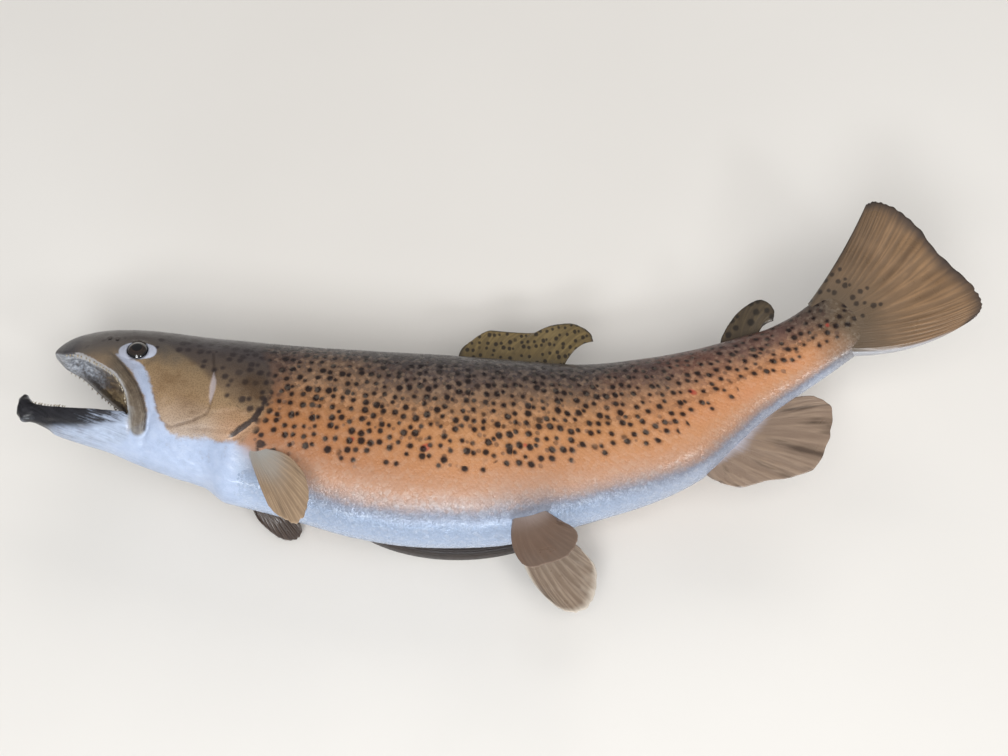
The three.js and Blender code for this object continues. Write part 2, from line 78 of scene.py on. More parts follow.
UPPER_LIP = [
    [2.4, 14.2], [13, 13.3], [25, 8.2], [34, 4.2], [40.8, 0.5], [45.4, -4], [49.8, -9.7],
    [52.6, -17.3],
]
MOUTH_CORNER = [53.5, -19.4]
LOWER_LIP = [[51, -18.9], [21, -21], [7.3, -20.4], [-7, -18.4]]
MOUTH_HOLLOW = [  # u, the height of the middle, half the height and half the width
    [0, -2.5, 6, 4.5], [6, -3, 18.5, 11.5], [15, -3.5, 22, 18], [28, -5.5, 22.5, 23.4],
    [42, -8.5, 21, 26], [54, -12.5, 18, 26], [64, -16.5, 12.5, 20.5], [72, -19, 7, 12],
]
HOOK = {"at": (-10.6, -20.2, 0), "radii": (3.9, 7.8, 4.4), "tilt": 13}
EYE = {"at": (48.9, 19.0), "radius": 7.6, "depth": 5.1}
GILL_COVER = [
    [72, 27], [96, 32], [114, 32.5], [124, 27], [131, 17], [133.4, 8], [132.2, -1], [129, -9],
    [123, -16.8], [116, -23.4], [98, -24.4], [80, -22.5], [71, -9], [69.5, 10],
]
LIP_BONE = [  # u, v and half the breadth
    [20, 15.4, 1.4], [28, 13, 3], [36, 8.6, 4.2], [43.5, 2.6, 4.6], [50, -3.8, 4.8],
    [55.8, -11.4, 5], [60, -19.5, 5.2], [61.8, -25.8, 4.8],
]
PREOPERCLE = [
    [93, 27], [96, 18], [98.5, 8], [100, -2], [100.6, -8], [99.8, -12.8], [96, -16], [91.5, -18.8],
    [86.5, -21.2], [80, -23.6], [74.5, -21.4], [69.5, -14.4], [65.4, -6],
]
SUBOPERCLE = [[89, -13], [102, -12.5], [116, -8], [128, -2]]
INTEROPERCLE = [[84, -24.5], [94, -22.5], [106, -21], [116, -20]]
CHEEK_FOLD = [[60, 4], [66, -4], [69, -13], [68, -24], [66, -33]]
CHIN_FOLD = [[-2, -27.5], [16, -29], [36, -29.5], [54, -31.5], [70, -34.5]]
NOSTRILS = ((29.8, 25.2), (34.4, 25.1))
TONGUE = {"from": 8, "to": 60, "height": -25.5, "half_width": 7.5, "thickness": 3.4}

COAT_DEPTH = 0.35  # how far the skin lies inside the solids, under the scales


# ---------------------------------------------------------------- curves and distances


class Through:
    """A smooth curve through [x, y] stations that never overshoots them."""

    def __init__(self, stations):
        self.x, self.y = np.array(stations, float).T
        rise = np.diff(self.y) / np.diff(self.x)
        a, b = rise[:-1], rise[1:]
        inner = np.where(a * b > 0, 2 * a * b / np.where(a + b == 0, 1, a + b), 0)
        self.slope = np.concatenate([rise[:1], inner, rise[-1:]])

    def __call__(self, at):
        x, y, slope = self.x, self.y, self.slope
        i = np.clip(np.searchsorted(x, at, side="right") - 1, 0, len(x) - 2)
        step = x[i + 1] - x[i]
        t = np.clip((at - x[i]) / step, 0, 1)
        return (
            y[i] * (2 * t**3 - 3 * t**2 + 1) + y[i + 1] * (3 * t**2 - 2 * t**3)
            + step * (slope[i] * (t**3 - 2 * t**2 + t) + slope[i + 1] * (t**3 - t**2))
        )


def spline(points, t):
    """A centripetal curve through the points, at fractions t of its spans."""
    p = np.array(points, float)
    p = np.vstack([2 * p[0] - p[1], p, 2 * p[-1] - p[-2]])
    at = np.clip(np.asarray(t, float), 0, 1) * (len(p) - 3)
    i = np.minimum(at.astype(int), len(p) - 4)
    x = (at - i)[..., None]
    p0, p1, p2, p3 = (p[i + k] for k in range(4))
    d0, d1, d2 = (
        np.sqrt(np.linalg.norm(b - a, axis=-1, keepdims=True)) + 1e-9
        for a, b in ((p0, p1), (p1, p2), (p2, p3))
    )
    m1 = ((p1 - p0) / d0 - (p2 - p0) / (d0 + d1) + (p2 - p1) / d1) * d1
    m2 = ((p2 - p1) / d1 - (p3 - p1) / (d1 + d2) + (p3 - p2) / d2) * d1
    return (
        p1 * (2 * x**3 - 3 * x**2 + 1) + p2 * (3 * x**2 - 2 * x**3)
        + m1 * (x**3 - 2 * x**2 + x) + m2 * (x**3 - x**2)
    )


def ease(low, high, x):
    """0 below low, 1 above high and smooth between; high may be the smaller."""
    t = np.clip((x - low) / (high - low), 0, 1)
    return t * t * (3 - 2 * t)


def bump(x, width):
    """1 at x = 0, falling off to both sides."""
    return np.exp(-((x / width) ** 2))


def join(a, b, soft):
    """The union of two distance fields, with a fillet."""
    h = np.clip(0.5 + 0.5 * (b - a) / soft, 0, 1)
    return b + (a - b) * h - soft * h * (1 - h)


def cut(a, b, soft):
    """Field a without field b, with a rounded edge."""
    return -join(-a, b, soft)


def segments(line):
    """The pairs of points that follow one another."""
    line = np.array(line, float)
    return zip(line[:-1], line[1:])


def line_distance(line, u, v):
    """Distance from a line in the side view, less its half breadth where it has one."""
    best = np.full(np.broadcast(u, v).shape, 1e9)
    for a, b in segments(line):
        d = b - a
        t = np.clip(((u - a[0]) * d[0] + (v - a[1]) * d[1]) / (d[0] ** 2 + d[1] ** 2), 0, 1)
        gap = np.hypot(u - a[0] - t * d[0], v - a[1] - t * d[1])
        if len(a) > 2:
            gap = gap - (a[2] + t * d[2])
        best = np.minimum(best, gap)
    return best


def outline_distance(outline, u, v):
    """Signed distance from a closed outline in the side view, negative inside."""
    closed = [*outline, outline[0]]
    inside = np.zeros(np.broadcast(u, v).shape, bool)
    for (ax, ay), (bx, by) in segments(closed):
        if ay != by:
            crosses = (ay > v) != (by > v)
            inside ^= crosses & (u < (bx - ax) * (v - ay) / (by - ay) + ax)
    gap = line_distance(closed, u, v)
    return np.where(inside, -gap, gap)


def between(table, row, column):
    """A table read between its rows and columns, and held at its edges."""
    row, column = (np.clip(at, 0, n - 1.001) for at, n in zip((row, column), table.shape))
    i, j = row.astype(int), column.astype(int)
    fi, fj = row - i, column - j
    low = table[i, j] * (1 - fj) + table[i, j + 1] * fj
    high = table[i + 1, j] * (1 - fj) + table[i + 1, j + 1] * fj
    return low * (1 - fi) + high * fi


class SideMap:
    """A value over the head's side view, worked out once and read by interpolation."""

    STEP = 0.4
    U = np.arange(-30, 190, STEP)[:, None]
    V = np.arange(-80, 80, STEP)[None, :]

    def __init__(self, make):
        self.table = np.broadcast_to(make(self.U, self.V), (self.U.size, self.V.size))

    def __call__(self, u, v):
        rows, columns = ((x - axis.flat[0]) / self.STEP for x, axis in ((u, self.U), (v, self.V)))
        return between(self.table, rows, columns)


heading, climb, roll = Through(HEADING), Through(CLIMB), Through(ROLL)
back_at, belly_at, half_width_at = Through(BACK), Through(BELLY), Through(HALF_WIDTH)


def axes_at(u):
    """The directions of u, v and w in space, along the backbone."""
    yaw, lift, turn = (np.radians(f(u))[..., None] for f in (heading, climb, roll))
    level = np.cos(lift)
    along = np.concatenate([np.cos(yaw) * level, np.sin(yaw) * level, np.sin(lift)], -1)
    upright = np.concatenate([-np.sin(yaw), np.cos(yaw), 0 * yaw], -1)
    side = np.cross(along, upright)
    backward = upright * np.cos(turn) - side * np.sin(turn)
    return along, backward, side * np.cos(turn) + upright * np.sin(turn)


class Backbone:
    """The curve that the straight fish is bent along, stepped out millimetre by millimetre."""

    STEPS = 620

    def __init__(self):
        along = axes_at(np.arange(self.STEPS + 1.0))[0]
        strides = (along[:-1] + along[1:]) / 2
        self.points = np.vstack([np.zeros(3), np.cumsum(strides, 0)])
        self.points += np.array(SEAT[1]) - self.points[SEAT[0]]

    def near(self, u):
        """The backbone's point and directions at u, and how far past its ends u lies."""
        held = np.clip(u, 0, self.STEPS - 1)
        i = held.astype(int)
        here = self.points[i] + (self.points[i + 1] - self.points[i]) * (held - i)[..., None]
        return here, axes_at(held), u - held

    def bend(self, p):
        """Points of the straight fish, laid along the backbone, in millimetres."""
        p = np.asarray(p, float)
        here, (along, backward, side), past = self.near(p[..., 0])
        return here + along * past[..., None] + backward * p[..., 1:2] + side * p[..., 2:3]

    def height(self, u, v, w):
        """How high a point of the straight fish lies once it is bent."""
        here, (along, backward, side), past = self.near(u)
        return here[..., 2] + along[..., 2] * past + backward[..., 2] * v + side[..., 2] * w


backbone = Backbone()


# ---------------------------------------------------------------- the flesh as a distance field


def section(u, v):
    """Half the body's height, how far v is over its middle, and the power that rounds it."""
    back, belly = back_at(u), belly_at(u)
    y = v - (back - belly) / 2
    return (back + belly) / 2, y, np.where(y > 0, ROUND_BACK, ROUND_BELLY)


def roundness(u, v, w):
    """1 on the body's surface, less inside, with how fast it grows across the section."""
    high, y, power = section(u, v)
    half = half_width_at(u)
    a, b = np.abs(y) / high, np.abs(w) / half
    q = np.maximum((a**power + b**power) ** (1 / power), 0.05)
    grow = np.hypot(a ** (power - 1) / high, b ** (power - 1) / half) * q ** (1 - power)
    return q, grow


def body_distance(u, v, w):
    """How far outside the smooth body a point lies, about."""
    q, across = roundness(u, v, w)
    ahead = roundness(u + 0.5, v, w)[0] - roundness(u - 0.5, v, w)[0]
    d = (q - 1) / np.maximum(np.hypot(across, ahead), 1e-3)
    return np.maximum(d, np.maximum(NOSE - u, u - TAIL_END))


def surface_width(u, v):
    """Half the body's width at a place in the side view."""
    high, y, power = section(u, v)
    a = np.minimum(1, np.abs(y) / high)
    return half_width_at(u) * (1 - a**power) ** (1 / power)


hollow_middle, hollow_high, hollow_wide = (
    Through([[row[0], row[k]] for row in MOUTH_HOLLOW]) for k in (1, 2, 3))


def hollow_distance(u, v, w):
    """The mouth's hollow, with the folds of its roof."""
    y = v - hollow_middle(u)
    q = np.hypot(y / hollow_high(u), w / hollow_wide(u))
    d = (q - 1) * np.minimum(hollow_high(u), hollow_wide(u))
    folds = 0.3 * np.sin(u * 1.3 + 0.5 * y) * np.sin(y * 0.7 - 0.3 * u) * ease(34, 22, u)
    return np.maximum(d + folds, np.maximum(1 - u, u - 70))


def ball_distance(u, v, w, at, radii, tilt=0):
    """The same for a ball with three radii, tilted in the side view by degrees."""
    c, s = math.cos(math.radians(tilt)), math.sin(math.radians(tilt))
    du, dv, dw = u - at[0], v - at[1], w - at[2]
    a, b = (c * du + s * dv) / radii[0], (c * dv - s * du) / radii[1]
    r = np.sqrt(a * a + b * b + (dw / radii[2]) ** 2)
    return (r - 1) * min(radii)


lip_line = spline(UPPER_LIP, np.linspace(0, 1, 40)).tolist()
jaw_line = spline(LOWER_LIP, np.linspace(0, 1, 20)).tolist()
gill_ring = spline([*GILL_COVER, GILL_COVER[0]], np.linspace(0, 1, 85))[:-1].tolist()
lip_bone_line = spline(LIP_BONE, np.linspace(0, 1, 24)).tolist()
plate_line = spline(PREOPERCLE, np.linspace(0, 1, 30)).tolist()

mouth_gap = SideMap(lambda u, v: outline_distance(
    [[-60, 70], [-4, 70], [-4, 17], *lip_line, MOUTH_CORNER, *jaw_line, [-60, -17]], u, v))
gill_edge = SideMap(lambda u, v: outline_distance(gill_ring, u, v))
lip_bone = SideMap(lambda u, v: line_distance(lip_bone_line, u, v))
preopercle = SideMap(lambda u, v: line_distance(plate_line, u, v))


def head_relief(u, v):
    """How far the head's plates, folds and pits stand out from the smooth body."""
    gill = gill_edge(u, v)
    rear = ease(74, 104, u)
    bone = lip_bone(u, v)
    from_eye = np.hypot(u - EYE["at"][0], (v - EYE["at"][1]) * 1.06)
    plate = preopercle(u, v)
    lower = ease(26, 8, v)
    # the gill cover, its plates and the folds ahead of it
    h = 0.8 * lower * ease(0.8, -2.2, gill) * rear
    h = h - 0.6 * lower * bump(gill - 1.6, 1.2) * rear
    h = h - 0.5 * bump(plate, 1.3) + 0.7 * bump(plate, 5)
    for line, deep, wide in (
        (SUBOPERCLE, 0.4, 1.3), (INTEROPERCLE, 0.4, 1.3), (CHEEK_FOLD, 0.6, 1.8),
        (CHIN_FOLD, 0.5, 1.2),
    ):
        h = h - deep * bump(line_distance(line, u, v), wide)
    # the lip bone, and the ring and hollows round the eye
    free = ease(24, 44, u)
    h = h + (0.15 + 0.6 * free) * ease(0.6, -1.8, bone) - 0.6 * bump(bone - 0.9, 0.9) * free
    h = h + 0.55 * bump(from_eye - 7.2, 1.3) - 0.3 * bump(from_eye - 10.5, 1.6)
    h = h - 0.15 * bump(from_eye - 16, 1.6) * ease(20, 8, v)
    # the nostrils
    for at in NOSTRILS:
        pit = np.hypot(u - at[0], v - at[1])
        h = h + 0.35 * bump(pit - 1.9, 0.7) - 1.7 * bump(pit, 1.05)
    # the folded throat
    rays = np.sin((v + 0.42 * u) * 1.35) * ease(72, 84, u) * ease(128, 112, u)
    h = h + 0.16 * rays * ease(-28, -33, v)
    return h


relief = SideMap(head_relief)


def eye_centre(side):
    """The middle of the left eye, or of the right one where side is -1."""
    u, v = EYE["at"]
    return u, v, side * (float(surface_width(np.array(u), np.array(v))) - EYE["depth"])


def flesh(u, v, w):
    """The whole fish but its fins: negative inside."""
    body = body_distance(u, v, w)
    beside = ease(0.12, 0.45, np.abs(w) / half_width_at(u))
    scaled = ease(112, 132, u)
    skin = body + 0.1 + (COAT_DEPTH - 0.1) * scaled - relief(u, v) * beside
    opening = join(mouth_gap(u, v) + 0 * w, hollow_distance(u, v, w), 1.5)
    out = cut(skin, opening, 1.8)
    knob = ball_distance(u, v, w, HOOK["at"], HOOK["radii"], HOOK["tilt"])
    out = join(out, knob + 0.35 * np.sin(v * 1.1 + 1) * np.sin(u * 0.9), 5)
    middle, reach = (TONGUE["from"] + TONGUE["to"]) / 2, (TONGUE["to"] - TONGUE["from"]) / 2
    tongue = ball_distance(
        u, v, w, (middle, TONGUE["height"], 0), (reach, TONGUE["thickness"], TONGUE["half_width"]))
    out = join(out, tongue, 1.5)
    for side in (1, -1):
        ball = ball_distance(u, v, w, eye_centre(side), (EYE["radius"] + 0.1,) * 3)
        out = cut(out, ball, 0.5)
    return cut(out, backbone.height(u, v, w) - BOARD_TOP, 2.5)


def surface_nets(axes, value):
    """A quad mesh round the inside of a field on a grid: points and faces."""
    inside = value < 0
    shape = np.array(value.shape) - 1
    full = np.zeros(shape, np.uint8)
    corners = np.array([(i, j, k) for i in (0, 1) for j in (0, 1) for k in (0, 1)])
    for i, j, k in corners:
        full += inside[i: shape[0] + i, j: shape[1] + j, k: shape[2] + k]
    cells = np.argwhere((full > 0) & (full < 8))
    number = np.full(shape, -1)
    number[tuple(cells.T)] = np.arange(len(cells))
    at = [cells[:, n] + corners[:, n, None] for n in range(3)]
    place = np.stack([axis[i] for axis, i in zip(axes, at)], -1)
    held = value[tuple(at)]
    total, count = np.zeros((len(cells), 3)), np.zeros(len(cells))
    for a in range(8):
        for b in range(a + 1, 8):
            if np.abs(corners[a] - corners[b]).sum() == 1:
                crosses = (held[a] < 0) != (held[b] < 0)
                t = np.where(crosses, held[a] / np.where(crosses, held[a] - held[b], 1), 0)[:, None]
                total += np.where(crosses[:, None], place[a] + (place[b] - place[a]) * t, 0)
                count += crosses
    points = total / count[:, None]
    faces = []
    for axis in range(3):
        first, second = [n for n in range(3) if n != axis]
        low = [slice(None)] * 3
        high = [slice(None)] * 3
        low[axis], high[axis] = slice(0, -1), slice(1, None)
        a, b = inside[tuple(low)], inside[tuple(high)]
        for flips, outward in ((a & ~b, True), (~a & b, False)):
            edge = np.argwhere(flips)
            ring = []
            for df, ds in ((-1, -1), (0, -1), (0, 0), (-1, 0)):
                cell = edge.copy()
                cell[:, first] += df
                cell[:, second] += ds
                ring.append(number[tuple(cell.T)])
            ring = np.stack(ring, -1)
            if outward == (axis == 1):
                ring = ring[:, ::-1]
            faces.append(ring)
    return points, np.vstack(faces)


def slope_of(field, p, step=0.3):
    """How a field rises at points, along each axis."""
    rise = []
    for axis in range(3):
        shift = np.zeros(3)
        shift[axis] = step
        rise.append((field(*(p + shift).T) - field(*(p - shift).T)) / (2 * step))
    return np.stack(rise, -1)


def settle(field, p, rounds):
    """Moves points onto the surface of a field."""
    for _ in range(rounds):
        rise = slope_of(field, p)
        away = field(*p.T) / np.maximum((rise**2).sum(-1), 0.05)
        move = rise * away[:, None]
        length = np.linalg.norm(move, axis=-1, keepdims=True)
        p = p - move * np.minimum(1, 0.5 / np.maximum(length, 1e-9))
    return p


def relax(points, faces, strength):
    """Each point moved towards the middle of its neighbours."""
    a = faces.ravel()
    b = np.roll(faces, -1, axis=1).ravel()
    total = np.zeros_like(points)
    for x, y in ((a, b), (b, a)):
        for axis in range(3):
            total[:, axis] += np.bincount(x, points[y, axis], len(points))
    count = np.bincount(a, minlength=len(points)) + np.bincount(b, minlength=len(points))
    return points + (total / count[:, None] - points) * strength


# ---------------------------------------------------------------- round the body


def section_at(u, turn):
    """v and w of the body's surface, at a turn from the middle of the back."""
    back, belly = back_at(u), belly_at(u)
    cos, sin = np.cos(turn), np.abs(np.sin(turn))
    power = 2 / np.where(cos > 0, ROUND_BACK, ROUND_BELLY)
    v = (back - belly) / 2 + np.sign(cos) * np.abs(cos) ** power * (back + belly) / 2
    return v, sin**power * half_width_at(u)


def turn_of(u, v, w):
    """The turn from the middle of the back at which a point lies."""
    high, y, power = section(u, v)
    wide = np.abs(w) / half_width_at(u)
    y = y / high
    return np.arctan2(wide ** (power / 2), np.sign(y) * np.abs(y) ** (power / 2))


class Girth:
    """Distances round the body, from the middle of the back to the middle of the belly."""

    U = np.arange(-12, 524.0)
    TURNS = np.linspace(0, math.pi, 361)
    PARTS = np.linspace(0, 1, 241)

    def __init__(self):
        v, w = section_at(self.U[:, None], self.TURNS[None, :])
        steps = np.hypot(np.diff(v), np.diff(w))
        self.arcs = np.concatenate([np.zeros((len(self.U), 1)), np.cumsum(steps, 1)], 1)
        self.totals = self.arcs[:, -1]
        self.turns = np.array([
            np.interp(self.PARTS * arc[-1], arc, self.TURNS) for arc in self.arcs])

    def half(self, u):
        """The whole way from back to belly."""
        return np.interp(u, self.U, self.totals)

    def read(self, table, u, part):
        """One of the tables at u, part of the way across it."""
        return between(table, u - self.U[0], np.clip(part, 0, 1) * (table.shape[1] - 1.001))

    def distance(self, u, v, w):
        """How far round from the back a point lies."""
        return self.read(self.arcs, u, turn_of(u, v, w) / math.pi)

    def point(self, u, s, side):
        """The body's point at a distance s round from the back, on one side."""
        total = self.half(u)
        over = (s < 0) | (s > total)
        s = np.where(s < 0, -s, np.where(s > total, 2 * total - s, s))
        turn = self.read(self.turns, u, s / total)
        v, w = section_at(u, turn)
        return np.stack(np.broadcast_arrays(u, v, w * np.where(over, -side, side)), -1)


girth = Girth()
lateral_line = Through(LATERAL_LINE)


def lateral_at(u):
    """How far round the lateral line lies."""
    v = lateral_line(u)
    return girth.distance(u, v, surface_width(u, v))


def markings(p):
    """Where points of the straight fish lie in its pattern."""
    u, v, w = p.T
    side = np.where(w < 0, -1, 1)
    s = girth.distance(u, v, w)
    return {
        "lie": np.stack([u, side * s, 0 * u], -1) * MM,
        "depth": s / girth.half(u),
        "along": u / TAIL_END,
    }


# ---------------------------------------------------------------- meshes


def add_object(name, data):
    """An object of the scene."""
    made = bpy.data.objects.new(name, data)
    bpy.context.scene.collection.objects.link(made)
    return made


def new_piece(name, points, faces, finish, values=None):
    """A mesh piece from arrays, in metres, with values on its points."""
    mesh = bpy.data.meshes.new(name)
    faces = np.asarray(faces, np.int32)
    sides = faces.shape[1]
    mesh.vertices.add(len(points))
    mesh.vertices.foreach_set("co", np.asarray(points, np.float32).ravel())
    if len(faces):
        mesh.loops.add(faces.size)
        mesh.loops.foreach_set("vertex_index", faces.ravel())
        mesh.polygons.add(len(faces))
        mesh.polygons.foreach_set("loop_start", np.arange(0, faces.size, sides, dtype=np.int32))
        mesh.polygons.foreach_set("use_smooth", np.ones(len(faces), bool))
        mesh.update(calc_edges=True)
    for key, value in (values or {}).items():
        vector = value.ndim > 1
        held = mesh.attributes.new(key, "FLOAT_VECTOR" if vector else "FLOAT", "POINT")
        held.data.foreach_set("vector" if vector else "value", value.astype(np.float32).ravel())
    if finish:
        mesh.materials.append(finish)
    return add_object(name, mesh)


def facing(points, faces):
    """The faces turned outwards, going by the volume that they enclose."""
    a, b, c = (points[faces[:, k]] for k in (0, 1, 2))
    volume = np.einsum("ij,ij->", a, np.cross(b, c))
    if faces.shape[1] == 4:
        d = points[faces[:, 3]]
        volume += np.einsum("ij,ij->", a, np.cross(c, d))
    return faces if volume > 0 else faces[:, ::-1]


def closed_rings(grid, first, last):
    """Triangles over rings of points, closed by one point before them and one after."""
    after = np.roll(grid, -1, axis=1)
    sides = np.stack([grid[:-1], after[:-1], after[1:], grid[1:]], -1).reshape(-1, 4)
    around = grid.shape[1]
    return np.vstack([
        sides[:, :3], sides[:, [0, 2, 3]],
        np.c_[after[0], grid[0], np.full(around, first)],
        np.c_[grid[-1], after[-1], np.full(around, last)]])


def place(piece, slot, *nodes):
    """The piece rides on the still body, and stands for the nodes named."""
    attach(piece, "root")
    if nodes:
        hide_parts(*nodes)


# ---------------------------------------------------------------- shading


def srgb(*rgb):
    """A colour given as 0 to 255, ready for a shader."""
    parts = [c / 255 for c in rgb]
    linear = [c / 12.92 if c <= 0.04045 else ((c + 0.055) / 1.055) ** 2.4 for c in parts]
    return (*linear, 1.0)


def add_node(tree, kind, settings=None, inputs=None):
    """One node: its settings first, then the values or links of its sockets."""
    made = tree.nodes.new(kind)
    for key, value in (settings or {}).items():
        if key == "stops":
            ramp = made.color_ramp
            while len(ramp.elements) < len(value):
                ramp.elements.new(1.0)
            for element, (at, colour) in zip(ramp.elements, value):
                element.position, element.color = at, srgb(*colour)
        else:
            setattr(made, key, value)
    for key, value in (inputs or {}).items():
        if isinstance(value, Value):
            value = value.socket
        if isinstance(value, bpy.types.NodeSocket):
            tree.links.new(value, made.inputs[key])
        else:
            made.inputs[key].default_value = value
    return made


class Value:
    """A number that changes over a surface; sums on it become Math nodes."""

    def __init__(self, paint, socket):
        self.paint, self.socket = paint, socket

    def math(self, operation, *others):
        """This number and others, through one Math node."""
        made = self.paint.node(
            "ShaderNodeMath", {"operation": operation}, dict(enumerate((self, *others))))
        return Value(self.paint, made.outputs[0])

    __add__ = __radd__ = partialmethod(math, "ADD")
    __mul__ = __rmul__ = partialmethod(math, "MULTIPLY")
    __sub__ = partialmethod(math, "SUBTRACT")
    __truediv__ = partialmethod(math, "DIVIDE")
    most = partialmethod(math, "MAXIMUM")
    size = partialmethod(math, "ABSOLUTE")

    def __rsub__(self, other):
        return (self * -1) + other

    def ease(self, low, high, start=0.0, end=1.0):
        """start below low and end above high, smooth between."""
        made = self.paint.node(
            "ShaderNodeMapRange", {"interpolation_type": "SMOOTHSTEP"},
            {"Value": self, "From Min": low, "From Max": high, "To Min": start, "To Max": end})
        return Value(self.paint, made.outputs["Result"])

    def ramp(self, *stops):
        """A colour picked by this value."""
        made = self.paint.node("ShaderNodeValToRGB", {"stops": stops}, {"Fac": self})
        return made.outputs["Color"]


class Paint:
    """A material being mixed."""

    def __init__(self, name):
        self.material = bpy.data.materials.new(name)
        self.material.use_nodes = True
        self.tree = self.material.node_tree
        self.tree.nodes.clear()
        self.colour = None

    def node(self, kind, settings=None, inputs=None):
        """A node of this material."""
        return add_node(self.tree, kind, settings, inputs)

    def held(self, name):
        """A number kept on the piece's points."""
        made = self.node("ShaderNodeAttribute", {"attribute_name": name})
        return Value(self, made.outputs["Fac"])

    def painted(self, mark, noise, low, high):
        """A held mark with a broken edge, that never shows away from the mark."""
        held = self.held(mark)
        return (held + noise).ease(low, high) * held.ease(0.0, 0.15)

    def held_place(self, name):
        """A vector kept on the piece's points."""
        return self.node("ShaderNodeAttribute", {"attribute_name": name}).outputs["Vector"]

    def place(self):
        """The point's own place, in metres."""
        return self.node("ShaderNodeTexCoord").outputs["Object"]

    def stretch(self, vector, scale):
        """A vector multiplied part by part."""
        return self.node(
            "ShaderNodeVectorMath", {"operation": "MULTIPLY"}, {0: vector, 1: scale}).outputs[0]

    def noise(self, vector, scale, detail=3.0, rough=0.5):
        """Clouds from 0 to 1, about 0.5."""
        made = self.node(
            "ShaderNodeTexNoise", None,
            {"Vector": vector, "Scale": scale, "Detail": detail, "Roughness": rough})
        return Value(self, made.outputs["Fac"])

    def clouds(self, vector, scale, detail=3.0, rough=0.5):
        """The same about 0, and stretched where the scale is three numbers."""
        if isinstance(scale, tuple):
            vector, scale = self.stretch(vector, scale), 1.0
        return self.noise(vector, scale, detail, rough) - 0.5

    def cells(self, vector, scale, random):
        """Distance from the nearest of scattered points, that point's own numbers, its place."""
        made = self.node(
            "ShaderNodeTexVoronoi", {"voronoi_dimensions": "2D"},
            {"Vector": vector, "Scale": scale, "Randomness": random})
        parts = self.node("ShaderNodeSeparateColor", None, {"Color": made.outputs["Color"]})
        numbers = [Value(self, parts.outputs[i]) for i in (0, 1)]
        return Value(self, made.outputs["Distance"]), numbers, made.outputs["Position"]

    def upward(self, vector):
        """The second part of a vector."""
        return Value(self, self.node("ShaderNodeSeparateXYZ", None, {0: vector}).outputs[1])

    def mix(self, factor, a, b, blend="MIX"):
        """Colour a, turned into colour b as far as the factor says."""
        a, b = (srgb(*colour) if isinstance(colour, tuple) else colour for colour in (a, b))
        made = self.node(
            "ShaderNodeMix", {"data_type": "RGBA", "blend_type": blend}, {0: factor, 6: a, 7: b})
        return made.outputs[2]

    def tint(self, factor, colour):
        """The paint's colour, turned into another as far as the factor says."""
        self.colour = self.mix(factor, self.colour, colour)

    def shade(self, factor, colour):
        """The paint's colour, multiplied by another as far as the factor says."""
        self.colour = self.mix(factor, self.colour, colour, "MULTIPLY")

    def finish(self, roughness, height=None, depth=0.0, coat=None, **constants):
        """The shader: what changes over the surface, a bump in metres, and constants."""
        inputs = {"Base Color": self.colour, "Roughness": roughness, **constants}
        if coat is not None:
            inputs["Coat Weight"] = coat
        if height is not None:
            inputs["Normal"] = self.node(
                "ShaderNodeBump", None,
                {"Strength": 1.0, "Distance": depth, "Height": height}).outputs["Normal"]
        shader = self.node("ShaderNodeBsdfPrincipled", None, inputs)
        self.node("ShaderNodeOutputMaterial", None, {"Surface": shader.outputs[0]})
        return self.material


LACQUER = {"Coat Roughness": 0.14, "Coat IOR": 1.5, "IOR": 1.45}
SPOT_PITCH, SPOT_RADIUS = 0.0063, 0.00172  # of the black spots, in metres


def spots(paint, lie, pitch, radius, share, depth=None, shift=0.0, soft=0.4, swell=None):
    """Round spots over the pattern. The share of them that shows may hang on the depth, which
    is then that of each spot's middle, so that a spot is either whole or missing."""
    moved = lie
    if shift:
        moved = paint.node(
            "ShaderNodeVectorMath", {"operation": "ADD"}, {0: lie, 1: (shift, shift, 0)}).outputs[0]
    distance, (size, chance), middle = paint.cells(moved, 1 / pitch, 0.66)
    if depth:
        here = paint.upward(lie).size().most(0.0003)
        share = share(depth * (paint.upward(middle) - shift).size() / here)
    wobble = paint.clouds(moved, 1 / (0.3 * pitch), 2)
    edge = (size * 0.6 + 0.68) * (radius / pitch) + wobble * 0.14
    if swell:
        edge = edge * swell
    mark = (distance - edge) / (soft * radius / pitch)
    return mark.ease(1.0, -1.0) * (share - chance).ease(-0.02, 0.06)


